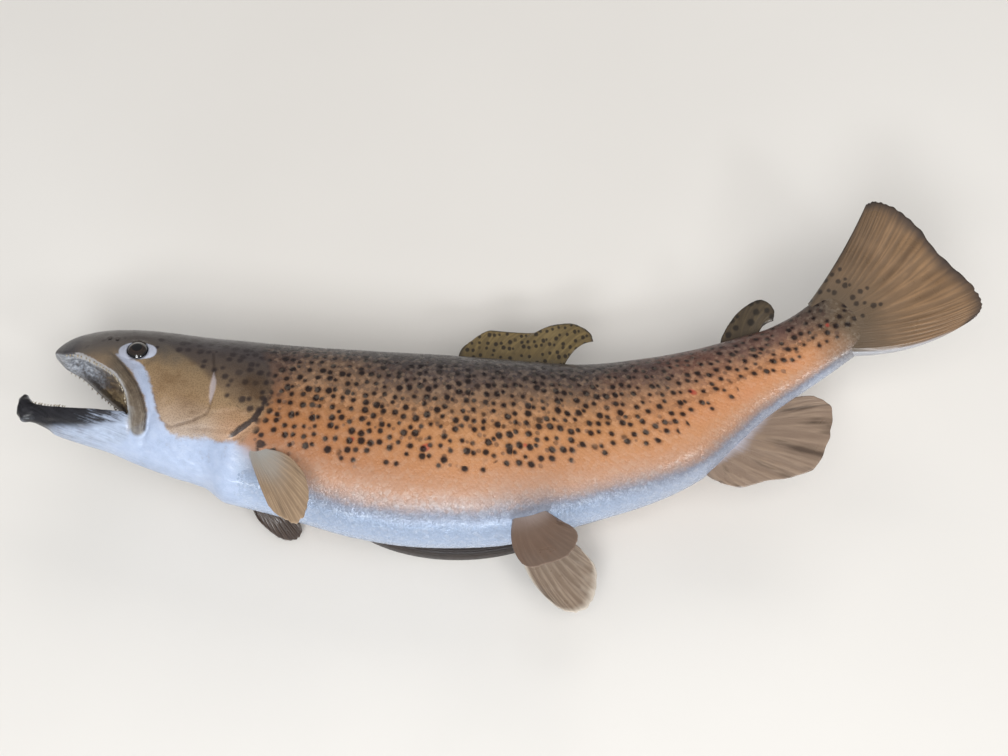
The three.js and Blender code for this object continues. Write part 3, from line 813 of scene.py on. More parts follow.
def body_paint(paint, depth, along, each=None):
    """The trout's colours and painted shade, the same on skin and scales; each is a scale's own
    number.
    """
    lie = paint.held_place("lie")
    drift = paint.clouds(lie, 30, 3)
    fine = paint.clouds(lie, 520, 3, 0.65)
    level = depth + drift * 0.07 + fine * 0.08 * depth.ease(0.76, 0.6, 0.3, 1.0)
    if each:
        level = level + (each - 0.5) * 0.08 * depth.ease(0.66, 0.5, 0.2, 1.0)
    # the bands of colour lie lower or higher on the shoulders, the rear half and the throat
    level = level + along.ease(0.58, 0.7) * depth.ease(0.5, 0.25) * 0.04
    level = level + along.ease(0.42, 0.33) * depth.ease(0.4, 0.24) * 0.08
    level = level - along.ease(0.55, 0.85) * 0.06
    level = level + along.ease(0.32, 0.2) * depth.ease(0.6, 0.75) * 0.1
    # the darker grey-blue stop at 0.83 is partly painted shade, where the flank turns under to the
    # belly
    paint.colour = level.ramp(
        (0.0, (62, 59, 61)), (0.12, (68, 62, 63)), (0.21, (74, 66, 65)),
        (0.28, (98, 82, 74)), (0.36, (130, 103, 81)), (0.45, (168, 123, 85)),
        (0.54, (180, 128, 85)), (0.65, (176, 125, 87)), (0.74, (168, 129, 104)),
        (0.79, (150, 130, 122)), (0.83, (124, 129, 143)), (0.88, (136, 150, 172)),
        (1.0, (162, 176, 199)))
    # darker behind the head, painted shade behind the gill cover, greyer and rosier towards the
    # tail
    nape = along.ease(0.285, 0.235) * depth.ease(0.42, 0.2)
    paint.shade(nape * 0.4, (118, 108, 112))
    # partly painted shade behind the gill cover's rear edge, partly a blend into the head's darker
    # colours
    collar_shade = (along + drift * 0.04 + fine * 0.03).ease(0.292, 0.262) * depth.ease(0.56, 0.44)
    paint.shade(collar_shade, (204, 204, 220))
    paint.tint(along.ease(0.58, 0.8) * level.ease(0.8, 0.88) * 0.55, (172, 174, 184))
    ahead = along.ease(0.5, 0.3) * depth.ease(0.38, 0.5) * depth.ease(0.76, 0.66)
    paint.shade(ahead * 0.5, (206, 190, 178))
    rose = (drift * 1.6 + depth.ease(0.8, 0.6) * along.ease(0.55, 0.8)).ease(0.3, 1.2)
    paint.tint(rose * 0.2, (196, 122, 90))
    # the root of the tail, and the back's mottling
    wrist = (along + drift * 0.04 - depth * 0.03).ease(0.872, 0.945)
    paint.tint(wrist, (depth + fine * 0.2).ramp(
        (0.15, (84, 74, 66)), (0.5, (102, 86, 70)), (0.8, (106, 89, 72)),
        (0.97, (122, 116, 110))))
    paint.tint(along.ease(0.945, 0.968), (98, 83, 67))
    dusk = (fine + drift + 0.2).ease(-0.1, 0.6) * depth.ease(0.5, 0.22)
    paint.shade(dusk * 0.5, (120, 110, 108))
    # the spots
    shift = drift * 0.08 - along.ease(0.36, 0.26) * 0.045
    ends = along.ease(0.17, 0.22) * along.ease(1.0, 0.975)

    def above(low, high, most):
        return lambda at: (at + shift).ease(high, low) * ends * most

    swell = along.ease(0.55, 0.85, 1.0, 0.8) * depth.ease(0.1, 0.45, 0.82, 1.04)
    halo = spots(paint, lie, SPOT_PITCH, 0.0024, above(0.6, 0.675, 1), depth, soft=0.9)
    black = spots(
        paint, lie, SPOT_PITCH, SPOT_RADIUS, above(0.6, 0.675, 1), depth, soft=0.45, swell=swell)
    small = spots(paint, lie, 0.005, 0.0012, above(0.4, 0.74, 0.42), depth, 0.3)
    red = spots(
        paint, lie, 0.034, 0.0017, lambda at: at.ease(0.42, 0.47) * at.ease(0.63, 0.58) * 0.7,
        depth, 0.77)
    paint.shade(halo * 0.45, (134, 108, 92))
    paint.tint(small * 0.55, (70, 52, 46))
    paint.tint(red * 0.6, (168, 52, 44))
    paint.tint(black * 0.95, (29, 21, 20))


# ---------------------------------------------------------------- the skin

SKIN_GRID = (
    np.concatenate([np.arange(-18, 126, 0.85), np.arange(126, 532, 3.2)]),  # finest on the head
    np.arange(-66, 66, 1.1), np.arange(-41, 41, 1.1),
)


def skin_mesh():
    """The skin's points and faces, laid round its field and evened out."""
    points, faces = surface_nets(SKIN_GRID, flesh(*np.ix_(*SKIN_GRID)))
    points = settle(flesh, points, 2)
    for strength in (0.5, 0.4):
        points = settle(flesh, relax(points, faces, strength), 2)
    return points, faces


# the ridge at the gill cover's front edge, with its half breadth, where a highlight is painted
CHEEK_HIGHLIGHT = [[97, 14, 0.2], [98.4, 8, 1.7], [99.1, 3, 2.1], [99.6, -2, 1.3], [100.3, -7.5, 0.3]]
WHITE_BAND = [
    [37, 14], [41, 10.5], [50, 3.9], [57.5, -4.8], [63, -13], [65.5, -20.9], [66, -30], [80, -30],
    [78.5, -24.5], [74.5, -21.4], [69.5, -14.4], [65, -5.6], [61, 2.6], [55, 9.9], [47, 12.8],
    [42, 15],
]
KYPE = [
    [-22, -10], [-4, -10], [6, -17], [30, -19], [54, -19], [56, -23], [45.5, -26.2], [30, -29.4],
    [12, -30.6], [-4, -31], [-22, -28],
]
BONE_FRONT = [[34, 4.6], [41, 0.8], [46, -4], [50.6, -10], [53.6, -17], [57.4, -27]]
BONE_REAR = [
    [24, 17], [33, 15], [41, 9.5], [48, 3.2], [55, -3.2], [60.4, -10.5], [65, -19.5], [65.6, -27],
]
WHITE_THROAT = [
    [-20, -29], [10, -30], [36, -29.5], [52, -29.5], [60, -27], [66, -23], [72, -25.5],
    [78.5, -26], [88, -27.8], [103, -25.8], [113.5, -26.6], [120, -25.6], [127.5, -27], [133, -30],
    [150, -33], [150, -80], [-20, -80],
]
FRECKLED = [
    [56, 42], [60, 32], [69.5, 25], [80, 19.5], [88, 15], [99.5, 4], [107, 0.7], [113, -4],
    [119.5, -8], [126.5, -12], [132, -18], [150, -18], [150, 80], [56, 80],
]
ALMOND = {"half_length": 11.0, "half_height": 6.2, "tilt": math.radians(12), "power": 2.3}


def head_marks(p):
    """Where the head's colours, painted shades and highlight lie, each from 0 to 1."""
    u, v, w = p.T
    gill, bone, mouth = gill_edge(u, v), lip_bone(u, v), mouth_gap(u, v)
    opening = np.minimum(mouth, hollow_distance(u, v, w))
    lip = np.abs(mouth)
    inner = body_distance(u, v, w)
    beside = ease(0.1, 0.35, np.abs(w) / half_width_at(u))
    left = ease(-2, 2, w)
    from_belly = np.sign(w) * (girth.half(u) - girth.distance(u, v, w))
    eu, ev = u - EYE["at"][0], v - EYE["at"][1]
    c, s, power = math.cos(ALMOND["tilt"]), math.sin(ALMOND["tilt"]), ALMOND["power"]
    almond = (
        np.abs((eu * c + ev * s) / ALMOND["half_length"]) ** power
        + np.abs((ev * c - eu * s) / ALMOND["half_height"]) ** power) ** (1 / power)
    crescent = ease(-5, -0.8, gill) * ease(1.2, 0.1, gill) * ease(15, 3, v) * ease(110, 120, u)
    upper_edge = ease(1.5, 0.4, lip) * ease(-14, -10, v) * ease(6, 14, u) * ease(56, 50, u)
    # the grooves along the gill plates' edges, which are darkened later as painted shade
    plates = np.maximum(
        bump(preopercle(u, v), 1.3), 0.5 * bump(line_distance(INTEROPERCLE, u, v), 1.2))
    nostril = np.minimum(*(np.hypot(u - a, v - b) for a, b in NOSTRILS))
    return {
        "under": np.stack([u, from_belly, 0 * u], -1) * MM,
        "mouth": ease(-0.8, -2.6, inner) * ease(2.4, 0.8, opening),
        "crescent": crescent * beside,
        "lip_bone": ease(0.6, -1.0, bone) * ease(26, 42, u) * beside,
        "bone_front": bump(line_distance(BONE_FRONT, u, v), 0.8) * ease(36, 46, u) * beside,
        # painted shade in the fold along the lip bone's rear edge
        "bone_rear": bump(line_distance(BONE_REAR, u, v), 0.8) * ease(28, 42, u) * beside,
        "bone_across": line_distance(BONE_REAR, u, v),
        "almond": ease(1.1, 0.92, almond) * beside,
        "lid": bump(np.hypot(eu, ev) - 5.9, 0.8) * beside,
        "band": ease(2.2, -2.2, outline_distance(WHITE_BAND, u, v)) * beside,
        "kype": ease(1.8, -1.8, outline_distance(KYPE, u, v)),
        "jaw": ease(-15, -17, v) * ease(64, 50, u) * ease(-37, -31, v),
        "upper_edge": upper_edge * left,
        "far_edge": ease(4.6, 0.8, lip) * ease(-17, -14, v) * ease(4, 20, u) * (1 - left),
        "throat": ease(3.0, -3.0, outline_distance(WHITE_THROAT, u, v)),
        "naked": ease(140, 128, u + 0.012 * (v - 4) ** 2),
        "freckled": ease(4, -4, outline_distance(FRECKLED, u, v)) * beside,
        "nostril": bump(nostril, 1.0) * beside,
        "snout": ease(22, 2, u) * ease(-6, -1, v),
        "plates": plates * beside,
        "streak": ease(0.9, -1.3, line_distance(CHEEK_HIGHLIGHT, u, v)) * beside,
        # painted shadow where the pectoral fin meets the body
        "armpit": ease(5.0, 1.5, np.hypot(u - 134.5, (v + 23.5) * 1.4)) * beside,
    }


def head_paint(paint):
    """The head's own colours over the body's, its painted shades and highlight, and its skin's
    relief.
    """
    depth, along = paint.held("depth"), paint.held("along")
    lie, place = paint.held_place("lie"), paint.place()
    mottle = paint.clouds(place, 190, 4, 0.65)
    cloud = paint.clouds(place, 42, 3)
    under = paint.held_place("under")
    streaks = paint.clouds(under, (60, 520, 1), 4, 0.6)
    flecks = paint.cells(lie, 900, 1.0)[0].ease(0.45, 0.1)
    level = depth + cloud * 0.12 + mottle * 0.09
    # the face's ground
    body = paint.colour
    paint.colour = level.ramp(
        (0.0, (68, 65, 68)), (0.2, (78, 73, 74)), (0.28, (90, 82, 78)),
        (0.35, (114, 99, 80)), (0.44, (134, 112, 84)), (0.58, (144, 119, 90)),
        (0.66, (160, 138, 116)), (1.0, (170, 166, 166)))
    gold = (along.ease(0.17, 0.24) * depth.ease(0.48, 0.66) + mottle * 0.8).ease(0.1, 1.0)
    paint.tint(gold * 0.55, (172, 128, 94))
    paint.shade(flecks * 0.35, (128, 112, 96))
    # its freckled crown and gill cover
    freckled = paint.held("freckled")
    dark = (freckled + cloud * 0.7 + mottle * 0.5).ease(0.2, 1.1) * depth.ease(0.64, 0.34)
    paint.shade(dark * 0.72, (118, 108, 112))
    paint.tint(dark * 0.3, (80, 73, 76))
    dots = spots(
        paint, lie, 0.0064, 0.0018, lambda at: freckled * at.ease(0.74, 0.6) * 0.84, depth, 0.11,
        soft=0.6)
    brow = (along + cloud * 0.05).ease(0.17, 0.11) * (depth + mottle * 0.1).ease(0.46, 0.32)
    paint.tint(brow * 0.7, (72, 67, 64))
    crown = spots(paint, lie, 0.008, 0.0011, lambda at: at.ease(0.36, 0.26) * 0.5, depth, 0.41)
    paint.tint(dots.most(crown) * 0.85, (42, 34, 34))
    # its patches, painted shade in the grooves between its plates, and a painted highlight on one
    # ridge
    patches = (cloud * 1.6 + mottle * 0.6).ease(0.0, 0.5)
    paint.shade(patches * 0.8 * depth.ease(0.3, 0.45), (176, 156, 132))
    pale = (mottle * 1.6 - cloud + 0.1).ease(0.1, 0.6) * depth.ease(0.46, 0.6)
    paint.tint(pale * 0.4, (182, 156, 130))
    # painted shade in the grooves along the edges of the gill plates
    groove_shade = (paint.held("plates") + mottle * 0.9).ease(0.3, 1.0)
    paint.shade(groove_shade * 0.45, (120, 96, 76))
    # a painted highlight along the ridge at the gill cover's front edge
    streak = (paint.held("streak") + mottle * 0.6).ease(0.1, 1.0)
    paint.tint(streak * 0.66, (180, 170, 172))
    naked = (paint.held("naked") + mottle * 0.5).ease(0.1, 0.9)
    paint.colour = paint.mix(naked, body, paint.colour)
    # the white throat, band and lids, and the pale jaw
    white = (cloud + mottle + 0.5).ramp(
        (0.1, (146, 161, 186)), (0.5, (162, 175, 199)), (0.9, (176, 187, 206)))
    throat = paint.painted("throat", mottle * 1.6 + cloud * 0.5, 0.1, 0.9)
    throat = throat * (along + cloud * 0.04).ease(0.262, 0.225)
    paint.tint(throat, white)
    band = paint.painted("band", streaks * 0.7 + mottle * 1.2, 0.15, 0.9)
    paint.tint(band * along.ease(0.08, 0.12, 0.7, 0.94), white)
    almond = (paint.held("almond") + mottle * 0.25).ease(0.15, 0.85)
    paint.tint(almond * 0.95, (178, 184, 200))
    jaw = (paint.held("jaw") + mottle * 0.3).ease(0.2, 0.8)
    bare = (streaks * 1.2 + mottle * 0.7 + 0.5 + along.ease(0.02, 0.1, -0.1, 0.1)).ramp(
        (0.1, (112, 114, 122)), (0.45, (148, 158, 176)), (0.8, (170, 182, 202)))
    paint.tint(jaw, bare)
    # the lip bone, and painted shade in the fold along its rear edge
    lengthways = paint.node(
        "ShaderNodeCombineXYZ", None, {0: paint.held("bone_across") * 1.5, 1: along * 34})
    grain = paint.clouds(lengthways.outputs[0], 1.0, 3, 0.6)
    strip = (grain * 0.8 + mottle * 0.9 + cloud * 0.8 + 0.5).ramp(
        (0.15, (54, 47, 41)), (0.5, (88, 78, 66)), (0.85, (132, 124, 110)))
    bone = paint.held("lip_bone")
    paint.tint(bone * 0.9, strip)
    paint.tint(paint.held("bone_front") * 0.75, (176, 174, 170))
    # painted shade in the fold along the lip bone's rear edge
    paint.tint(paint.held("bone_rear") * 0.75, (50, 42, 36))
    # black parts: behind the gill cover, under the hook, the snout; painted shadow at the fin root
    crescent = paint.painted("crescent", mottle * 1.1 + cloud * 0.4, 0.35, 0.85)
    paint.tint(crescent * 0.92, (36, 28, 28))
    # painted shadow where the pectoral fin meets the body
    armpit = paint.painted("armpit", mottle, 0.3, 0.8)
    paint.tint(armpit * 0.9, (42, 31, 29))
    kype = paint.held("kype") * (
        streaks * 1.9 + mottle * 0.6 + along.ease(0.02, 0.085, 1.0, 0.42)).ease(0.15, 0.65)
    black = (streaks + 0.5).ramp((0.3, (9, 8, 10)), (0.8, (48, 47, 52)))
    paint.tint(kype, black)
    mouth = paint.held("mouth")
    muzzle = (along + cloud * 0.03).ease(0.1, 0.03) * depth.ease(0.64, 0.5) * (1 - mouth)
    paint.tint(muzzle * 0.45, (98, 92, 88))
    snout = (paint.held("snout") + mottle * 0.6).ease(0.2, 0.9)
    paint.tint(snout * 0.75, (54, 53, 58))
    paint.tint(paint.held("nostril") * 0.95, (14, 12, 12))
    paint.tint(paint.held("lid") * 0.85, (26, 21, 20))
    # the mouth's lining and its lips
    folds = paint.clouds(paint.stretch(place, (1.0, 0.5, 1.0)), 420, 3, 0.65)
    brown = (mottle * 1.8 + cloud * 2 + 0.5).ramp(
        (0.2, (78, 63, 50)), (0.5, (128, 109, 83)), (0.8, (170, 150, 115)))
    silver = (folds * 1.8 + cloud + 0.5).ramp(
        (0.2, (88, 88, 92)), (0.5, (138, 144, 154)), (0.8, (190, 196, 206)))
    lining = paint.mix((along + cloud * 0.03 + mottle * 0.03).ease(0.06, 0.032), brown, silver)
    paint.tint(mouth, lining)
    near_lip = (paint.held("upper_edge") + folds * 1.5).ease(0.4, 0.85)
    paint.tint(near_lip * 0.8, (168, 166, 166))
    far_lip = (paint.held("far_edge") + folds * 1.7 + mottle * 0.8).ease(0.4, 0.85)
    paint.tint(far_lip * 0.85, (44, 35, 30))
    creases = paint.clouds(under, (70, 330, 1), 3, 0.6)
    relief = grain * bone + creases * throat * 1.2 + mottle * 0.4 + folds * (mouth * 1.8 + 0.1)
    return relief - flecks * 0.12


def skin_finish():
    """The skin's paint, with the head's colours over the body's."""
    paint = Paint("painted trout skin")
    depth, along = paint.held("depth"), paint.held("along")
    body_paint(paint, depth, along)
    relief = head_paint(paint)
    grime = paint.noise(paint.place(), 90, 4)
    return paint.finish(
        grime.ease(0.3, 0.7, 0.3, 0.5), relief, 0.0005,
        coat=grime.ease(0.2, 0.8, 0.2, 0.5), **LACQUER)


points, faces = skin_mesh()
skin = new_piece(
    "skin", backbone.bend(points) * MM, faces, skin_finish(),
    {**markings(points), **head_marks(points)})
flesh_nodes = [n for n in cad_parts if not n.endswith("_fin") and "_fin_" not in n]
flesh_nodes = [n for n in flesh_nodes if n != "board" and not n.startswith("eye_")]
place(skin, "body_skin", *flesh_nodes)


# ---------------------------------------------------------------- the scales

SCALE_PITCH, SCALE_ROW = 3.1, 1.7
SCALE_SIZE = Through([[100, 0.66], [128, 0.74], [170, 1], [330, 1], [420, 0.88], [512, 0.7]])
SCALES_FROM = Through([
    [0, 106], [0.12, 113], [0.26, 126], [0.4, 136], [0.52, 138.5], [0.62, 136], [0.68, 141],
    [0.74, 137], [0.82, 128], [1, 124]])
SCALES_START, SCALES_END = 100.0, 508
CLEAR_OF_BOARD = 1.4
SIDES = 10  # of a scale's outline


def scale_shape():
    """One scale, closed: outline, top and bottom middles; x tailwards, one pitch long."""
    turn = np.linspace(0, 2 * math.pi, SIDES, endpoint=False)
    x = 0.04 + 0.68 * np.cos(turn)
    y = 0.56 * np.sin(turn) * (1 - 0.12 * (np.cos(turn) < -0.1))
    z = np.interp(x, [-0.64, 0, 0.72], [-0.04, 0.0, 0.018]) - 0.012 * (y / 0.56) ** 2
    outline = np.stack([x, y, z], -1)
    shape = np.vstack([outline, [[0.12, 0, 0.022]], [[0.1, 0, -0.03]]])
    faces = []
    for i in range(SIDES):
        j = (i + 1) % SIDES
        faces += [(i, j, SIDES), (j, i, SIDES + 1)]
    return shape, np.array(faces)


def scale_roots(side, rng):
    """Where the scales of one side are rooted, with the row and size of each."""
    columns = [SCALES_START]
    while columns[-1] < SCALES_END + 4:
        columns.append(columns[-1] + SCALE_PITCH * float(SCALE_SIZE(np.array(columns[-1]))) / 2)
    u, row = np.meshgrid(np.array(columns), np.arange(-60, 61), indexing="ij")
    odd = (np.arange(len(columns))[:, None] + row) % 2
    size = SCALE_SIZE(u)
    s = lateral_at(u) + row * SCALE_ROW * size
    half = girth.half(u)
    part = s / half
    rough = rng.uniform(-1.5, 1.5, u.shape) * (1 + 2.5 * ease(0.7, 0.8, part))
    keep = (odd == 0) & (part > -0.004) & (part < 1.004) & (u > SCALES_FROM(part) + rough)
    keep &= u < SCALES_END - 14 * np.abs(part - 0.5)
    u, s, row, size = (a[keep] for a in (u, s, row, size))
    root = girth.point(u, s, side)
    clear = backbone.height(*root.T) > BOARD_TOP + CLEAR_OF_BOARD
    return [a[clear] for a in (u, s, row, size)]


def scales(side, low, high, name, finish):
    """One piece of the coat: the scales of a side whose roots lie from low to high."""
    rng = np.random.default_rng(11 + side)
    u, s, row, size = scale_roots(side, rng)
    kept = (u >= low) & (u < high)
    u, s, row, size = u[kept], s[kept], row[kept], size[kept]
    shape, faces = scale_shape()
    u, s = u + rng.normal(0, 0.16, len(u)) * size, s + rng.normal(0, 0.13, len(u)) * size
    spread = size * SCALE_PITCH * rng.uniform(0.94, 1.12, len(u))
    lean = rng.normal(0, 0.13, len(u))[:, None]
    x, y, z = (shape[:, n][None, :] * spread[:, None] for n in range(3))
    pu, ps = u[:, None] + x + y * lean, s[:, None] + y - x * lean
    lift = z * rng.uniform(0.5, 1.4, len(u))[:, None] + 0.05 * (row == 0)[:, None]
    base = girth.point(pu, ps, side).reshape(-1, 3)
    out = slope_of(body_distance, base)
    out /= np.linalg.norm(out, axis=-1, keepdims=True)
    straight = base + out * (lift.reshape(-1, 1) - COAT_DEPTH + 0.06)
    count, corners = len(u), len(shape)
    every = (faces[None] + (np.arange(count) * corners)[:, None, None]).reshape(-1, 3)
    if side > 0:
        every = every[:, ::-1]
    marks = markings(base)
    marks["lie"] = np.stack([pu.ravel(), side * ps.ravel(), np.zeros(pu.size)], -1) * MM
    rim = np.r_[np.ones(SIDES), 0, 0]
    marks["rim"] = np.tile(rim * (shape[:, 0] > -0.2), count)
    marks["glint"] = np.repeat(rng.uniform(0, 1, count), corners)
    marks["pore"] = np.repeat((row == 0).astype(float), corners)
    piece = new_piece(name, backbone.bend(straight) * MM, every, finish, marks)
    sharp = piece.data.attributes.new("sharp_edge", "BOOLEAN", "EDGE")
    ends = np.zeros(len(piece.data.edges) * 2, np.int32)
    piece.data.edges.foreach_get("vertices", ends)
    sharp.data.foreach_set("value", ((ends % corners) < SIDES).reshape(-1, 2).all(1))
    unwrap = piece.data.uv_layers.new(name="OFBake")
    root = np.stack([u / 560, 0.5 + side * s / 330], -1)  # a map of the whole coat, from 0 to 1
    patch = root[:, None, :] + shape[None, :, :2] * 0.0011
    unwrap.data.foreach_set("uv", patch.reshape(-1, 2)[every.ravel()].astype(np.float32).ravel())
    place(piece, "body_skin")


def scale_finish():
    """The scales' paint: the body's own, varied a little from one scale to the next."""
    paint = Paint("lacquered trout scales")
    depth, along = paint.held("depth"), paint.held("along")
    glint, rim = paint.held("glint"), paint.held("rim")
    body_paint(paint, depth, along, glint)
    paint.tint((glint - 0.5).ease(0.0, 0.5) * 0.05, (236, 222, 200))
    paint.shade(rim * 0.1, (150, 130, 112))
    paint.shade(paint.held("pore") * 0.25, (120, 100, 84))
    place = paint.place()
    rough = paint.noise(place, 700, 3, 0.6) + paint.noise(place, 240, 2)
    wet = depth.ease(0.7, 0.8) * 0.15
    silver = depth.ease(0.72, 0.84) * along.ease(0.25, 0.34) * 0.16
    return paint.finish(
        (rough * 0.6 + glint * 0.15).ease(0.4, 0.85, 0.22, 0.46) - wet, rough, 0.0003,
        coat=glint.ease(0.0, 1.0, 0.0, 0.3), **{"Metallic": silver, **LACQUER})


scale_coat = scale_finish()
MIDSHIP = 262  # where the front and rear scale pieces meet
for side, name in ((1, "left"), (-1, "right")):
    scales(side, 0, MIDSHIP, f"scales_{name}_front", scale_coat)
    scales(side, MIDSHIP, TAIL_END, f"scales_{name}_rear", scale_coat)


# ---------------------------------------------------------------- the fins

# Each fin: its root along the body, its outer edge in order, how far its first and last rays
# bow, its thickness at root and tip, and the count of its rays.
FINS = {
    "dorsal_fin": {
        "root": [[246, 57, 0], [284, 54, 0], [319, 49, 0]],
        "tips": [
            [254.4, 72.4, -1], [267.5, 81.4, -2], [276.5, 81.4, -2.6], [292, 80, -3],
            [303.6, 79.4, -3], [314.3, 81.8, -2], [324, 81.5, -1], [333.5, 79.7, 0], [341.2, 75, 2],
            [346.6, 68.2, 4], [346.3, 62.7, 6],
        ],
        "bow": [[-2, 3, 0], [-1, 5, 0]],
        "thickness": [4.2, 1.1],
        "rays": 12,
    },
    "adipose_fin": {
        "root": [[429, 25, 0], [441, 22, 0], [452, 19, 0]],
        "tips": [
            [439.3, 35.8, 0], [446, 39.4, -1], [452.4, 41.6, -1], [460, 42, 0], [467, 40.1, 1],
            [470.9, 34.4, 2], [470.2, 27.8, 2], [466.5, 23.8, 2],
        ],
        "bow": [[-1, 1.5, 0], [-1, 3, 0]],
        "thickness": [5, 2],
        "rays": 5,
    },
    "tail_fin": {
        "root": [[499, 24, 0], [505, 0, 0], [496, -23.4, 0]],
        "tips": [
            [556, 48.6, 2], [561, 47, 1], [566.6, 40.4, 0], [570.7, 25.7, -1], [569.6, -2.6, -2],
            [571, -32.5, -1], [568.9, -42.3, 0], [563.4, -45.8, 1], [556, -45.8, 2],
        ],
        "bow": [[0, -1, 1], [0, -5, 1]],
        "thickness": [12.5, 1.5],
        "rays": 21,
    },
    "anal_fin": {
        "root": [[387, -34, 0], [410, -26, 0], [433, -20, 0]],
        "tips": [
            [391.5, -46.2, 0], [399.5, -54.6, 0], [411.3, -58.2, 1], [425.7, -64.6, 1],
            [438.6, -66.4, 2], [450.3, -58.8, 2], [459.8, -50, 1], [465.8, -40.7, 0],
            [464.3, -34.5, 0], [460.9, -28.7, 0],
        ],
        "bow": [[-2, 0, 0], [2, 2, 0]],
        "thickness": [5, 1.1],
        "rays": 10,
    },
    "pelvic_fin_left": {
        "root": [[281.5, -45, 15], [290, -46, 16], [299, -45, 17]],
        "tips": [
            [285, -83.5, 47.5], [289.5, -87, 50], [296, -85.8, 50], [306, -82.4, 48],
            [311, -76, 45.5], [313, -67.5, 42], [310, -61, 37.5], [304, -55, 31],
        ],
        "bow": [[-3.2, -2, 1], [2, -1, 1]],
        "thickness": [5, 1.1],
        "rays": 9,
    },
    "pelvic_fin_right": {
        "root": [[284, -49, -12], [292, -49.5, -13], [301, -47, -14]],
        "tips": [
            [296, -88, -15], [303, -96, -17], [309, -98.4, -18], [316, -94.4, -18],
            [320, -84.6, -18], [321, -72.4, -17], [316, -60.5, -16],
        ],
        "bow": [[-4, 0, -3], [2, 0, -3]],
        "thickness": [5, 1.1],
        "rays": 9,
    },
    "pectoral_fin_left": {
        "root": [[128, -28, 27], [133, -28.5, 28], [138.5, -25.5, 29]],
        "tips": [
            [150, -66.5, 54], [156, -71.5, 57], [162, -74, 59], [167, -75.6, 60], [171, -70, 58.5],
            [171.4, -60, 55], [169.7, -51, 51.5], [165.2, -41, 46], [158, -34, 41],
        ],
        "bow": [[-1, 0, 2], [1, 2, 2]],
        "thickness": [6, 1.1],
        "rays": 12,
    },
    "pectoral_fin_right": {
        "root": [[127, -29, -26], [131, -30, -26], [137, -28, -27]],
        "tips": [
            [133.5, -41.8, -34], [138, -46.5, -39], [145, -50.6, -43], [153, -53, -45.4],
            [159.5, -51, -46], [161.5, -46, -45], [157, -38, -41],
        ],
        "bow": [[-1, -1, -2], [2, 1, -4]],
        "thickness": [6, 1.1],
        "rays": 12,
    },
}
SUNK = -0.16  # how far along its rays a fin starts inside the flesh
RAY_STEPS, BLADE_STEPS, EDGE_STEPS = 8, 44, 34  # across a ray, along it, and of the uneven edge


def ray_profile(across, along, count):
    """1 on the rays, which fork twice towards the tip, and 0 on the web between."""
    x = np.abs((across * count) % 1 - 0.5)
    first = 0.21 * ease(0.3, 0.85, along)
    second = 0.1 * ease(0.62, 1.0, along)
    away = np.abs(np.abs(x - first) - second)
    return bump(away, 0.17 - 0.1 * ease(0.1, 0.9, along))


def fin_blade(shape, rng):
    """A closed blade: two faces of rays, joined all round their edge."""
    root, tips, bow = (np.array(shape[key], float) for key in ("root", "tips", "bow"))
    count = shape["rays"]
    wide, long = count * RAY_STEPS + 1, BLADE_STEPS
    across = np.linspace(0, 1, wide)[:, None]
    along = np.linspace(SUNK, 1, long)[None, :]
    torn = np.interp(
        across, np.linspace(0, 1, EDGE_STEPS), rng.uniform(-0.009, 0.009, EDGE_STEPS))
    scallop = 0.004 * np.cos(2 * math.pi * across * count) + torn

    def middle(s, t):
        a, b = spline(root, s), spline(tips, s)
        lean = bow[0] + (bow[1] - bow[0]) * s[..., None]
        return a + (b - a) * t[..., None] + lean * (4 * t * (1 - t))[..., None]

    s, t = np.broadcast_arrays(across, along)
    t = t * np.where(t > 0.6, 1 + (scallop - 0.008) * (t - 0.6) / 0.4, 1)
    e = 1e-3
    da = middle(np.clip(s + e, 0, 1), t) - middle(np.clip(s - e, 0, 1), t)
    dt = middle(s, t + e) - middle(s, t - e)
    out = np.cross(da, dt)
    out /= np.linalg.norm(out, axis=-1, keepdims=True) + 1e-12
    thick_root, thick_tip = shape["thickness"]
    ray = ray_profile(s, np.clip(t, 0, 1), count)
    thick = 0.65 * thick_tip + (0.8 * thick_root - thick_tip) * np.clip(1 - t, 0, 1.2) ** 2.2
    edge = np.clip(np.minimum(s, 1 - s) * 14, 0, 1) ** 0.5 * np.clip((1.001 - t) * 18, 0, 1) ** 0.5
    pleat = 0.34 * np.minimum(1, 1.6 / thick) * ease(0.1, 0.6, t)
    half = 0.5 * thick * (1 - pleat + pleat * ray) * (0.25 + 0.75 * edge)
    wave = 0.45 * np.sin(s * 9 + 1.3) * np.clip(t, 0, 1) ** 2
    centre = middle(s, t) + out * wave[..., None]
    grid = np.arange(wide * long).reshape(wide, long)
    points = np.concatenate([
        (centre + out * half[..., None]).reshape(-1, 3),
        (centre - out * half[..., None]).reshape(-1, 3)])
    top = np.stack([grid[:-1, :-1], grid[1:, :-1], grid[1:, 1:], grid[:-1, 1:]], -1).reshape(-1, 4)
    low = grid.size
    rim = np.concatenate([grid[:, 0], grid[-1, 1:], grid[-2::-1, -1], grid[0, -2:0:-1]])
    after = np.roll(rim, -1)
    faces = np.concatenate([
        top, top[:, ::-1] + low, np.stack([after, rim, rim + low, after + low], -1)])
    width = np.linalg.norm(tips[-1] - tips[0]) + np.linalg.norm(root[-1] - root[0])
    length = np.linalg.norm(tips[len(tips) // 2] - root[1])
    values = {
        "web": np.stack([s * width / 2, t * length, 0 * s], -1).reshape(-1, 3) * MM,
        "flat": (centre * (1, 1, 0)).reshape(-1, 3) * MM,
        "ray": ray.ravel(), "reach": t.ravel(), "across": s.ravel(),
    }
    return points, faces, {key: np.concatenate([value, value]) for key, value in values.items()}


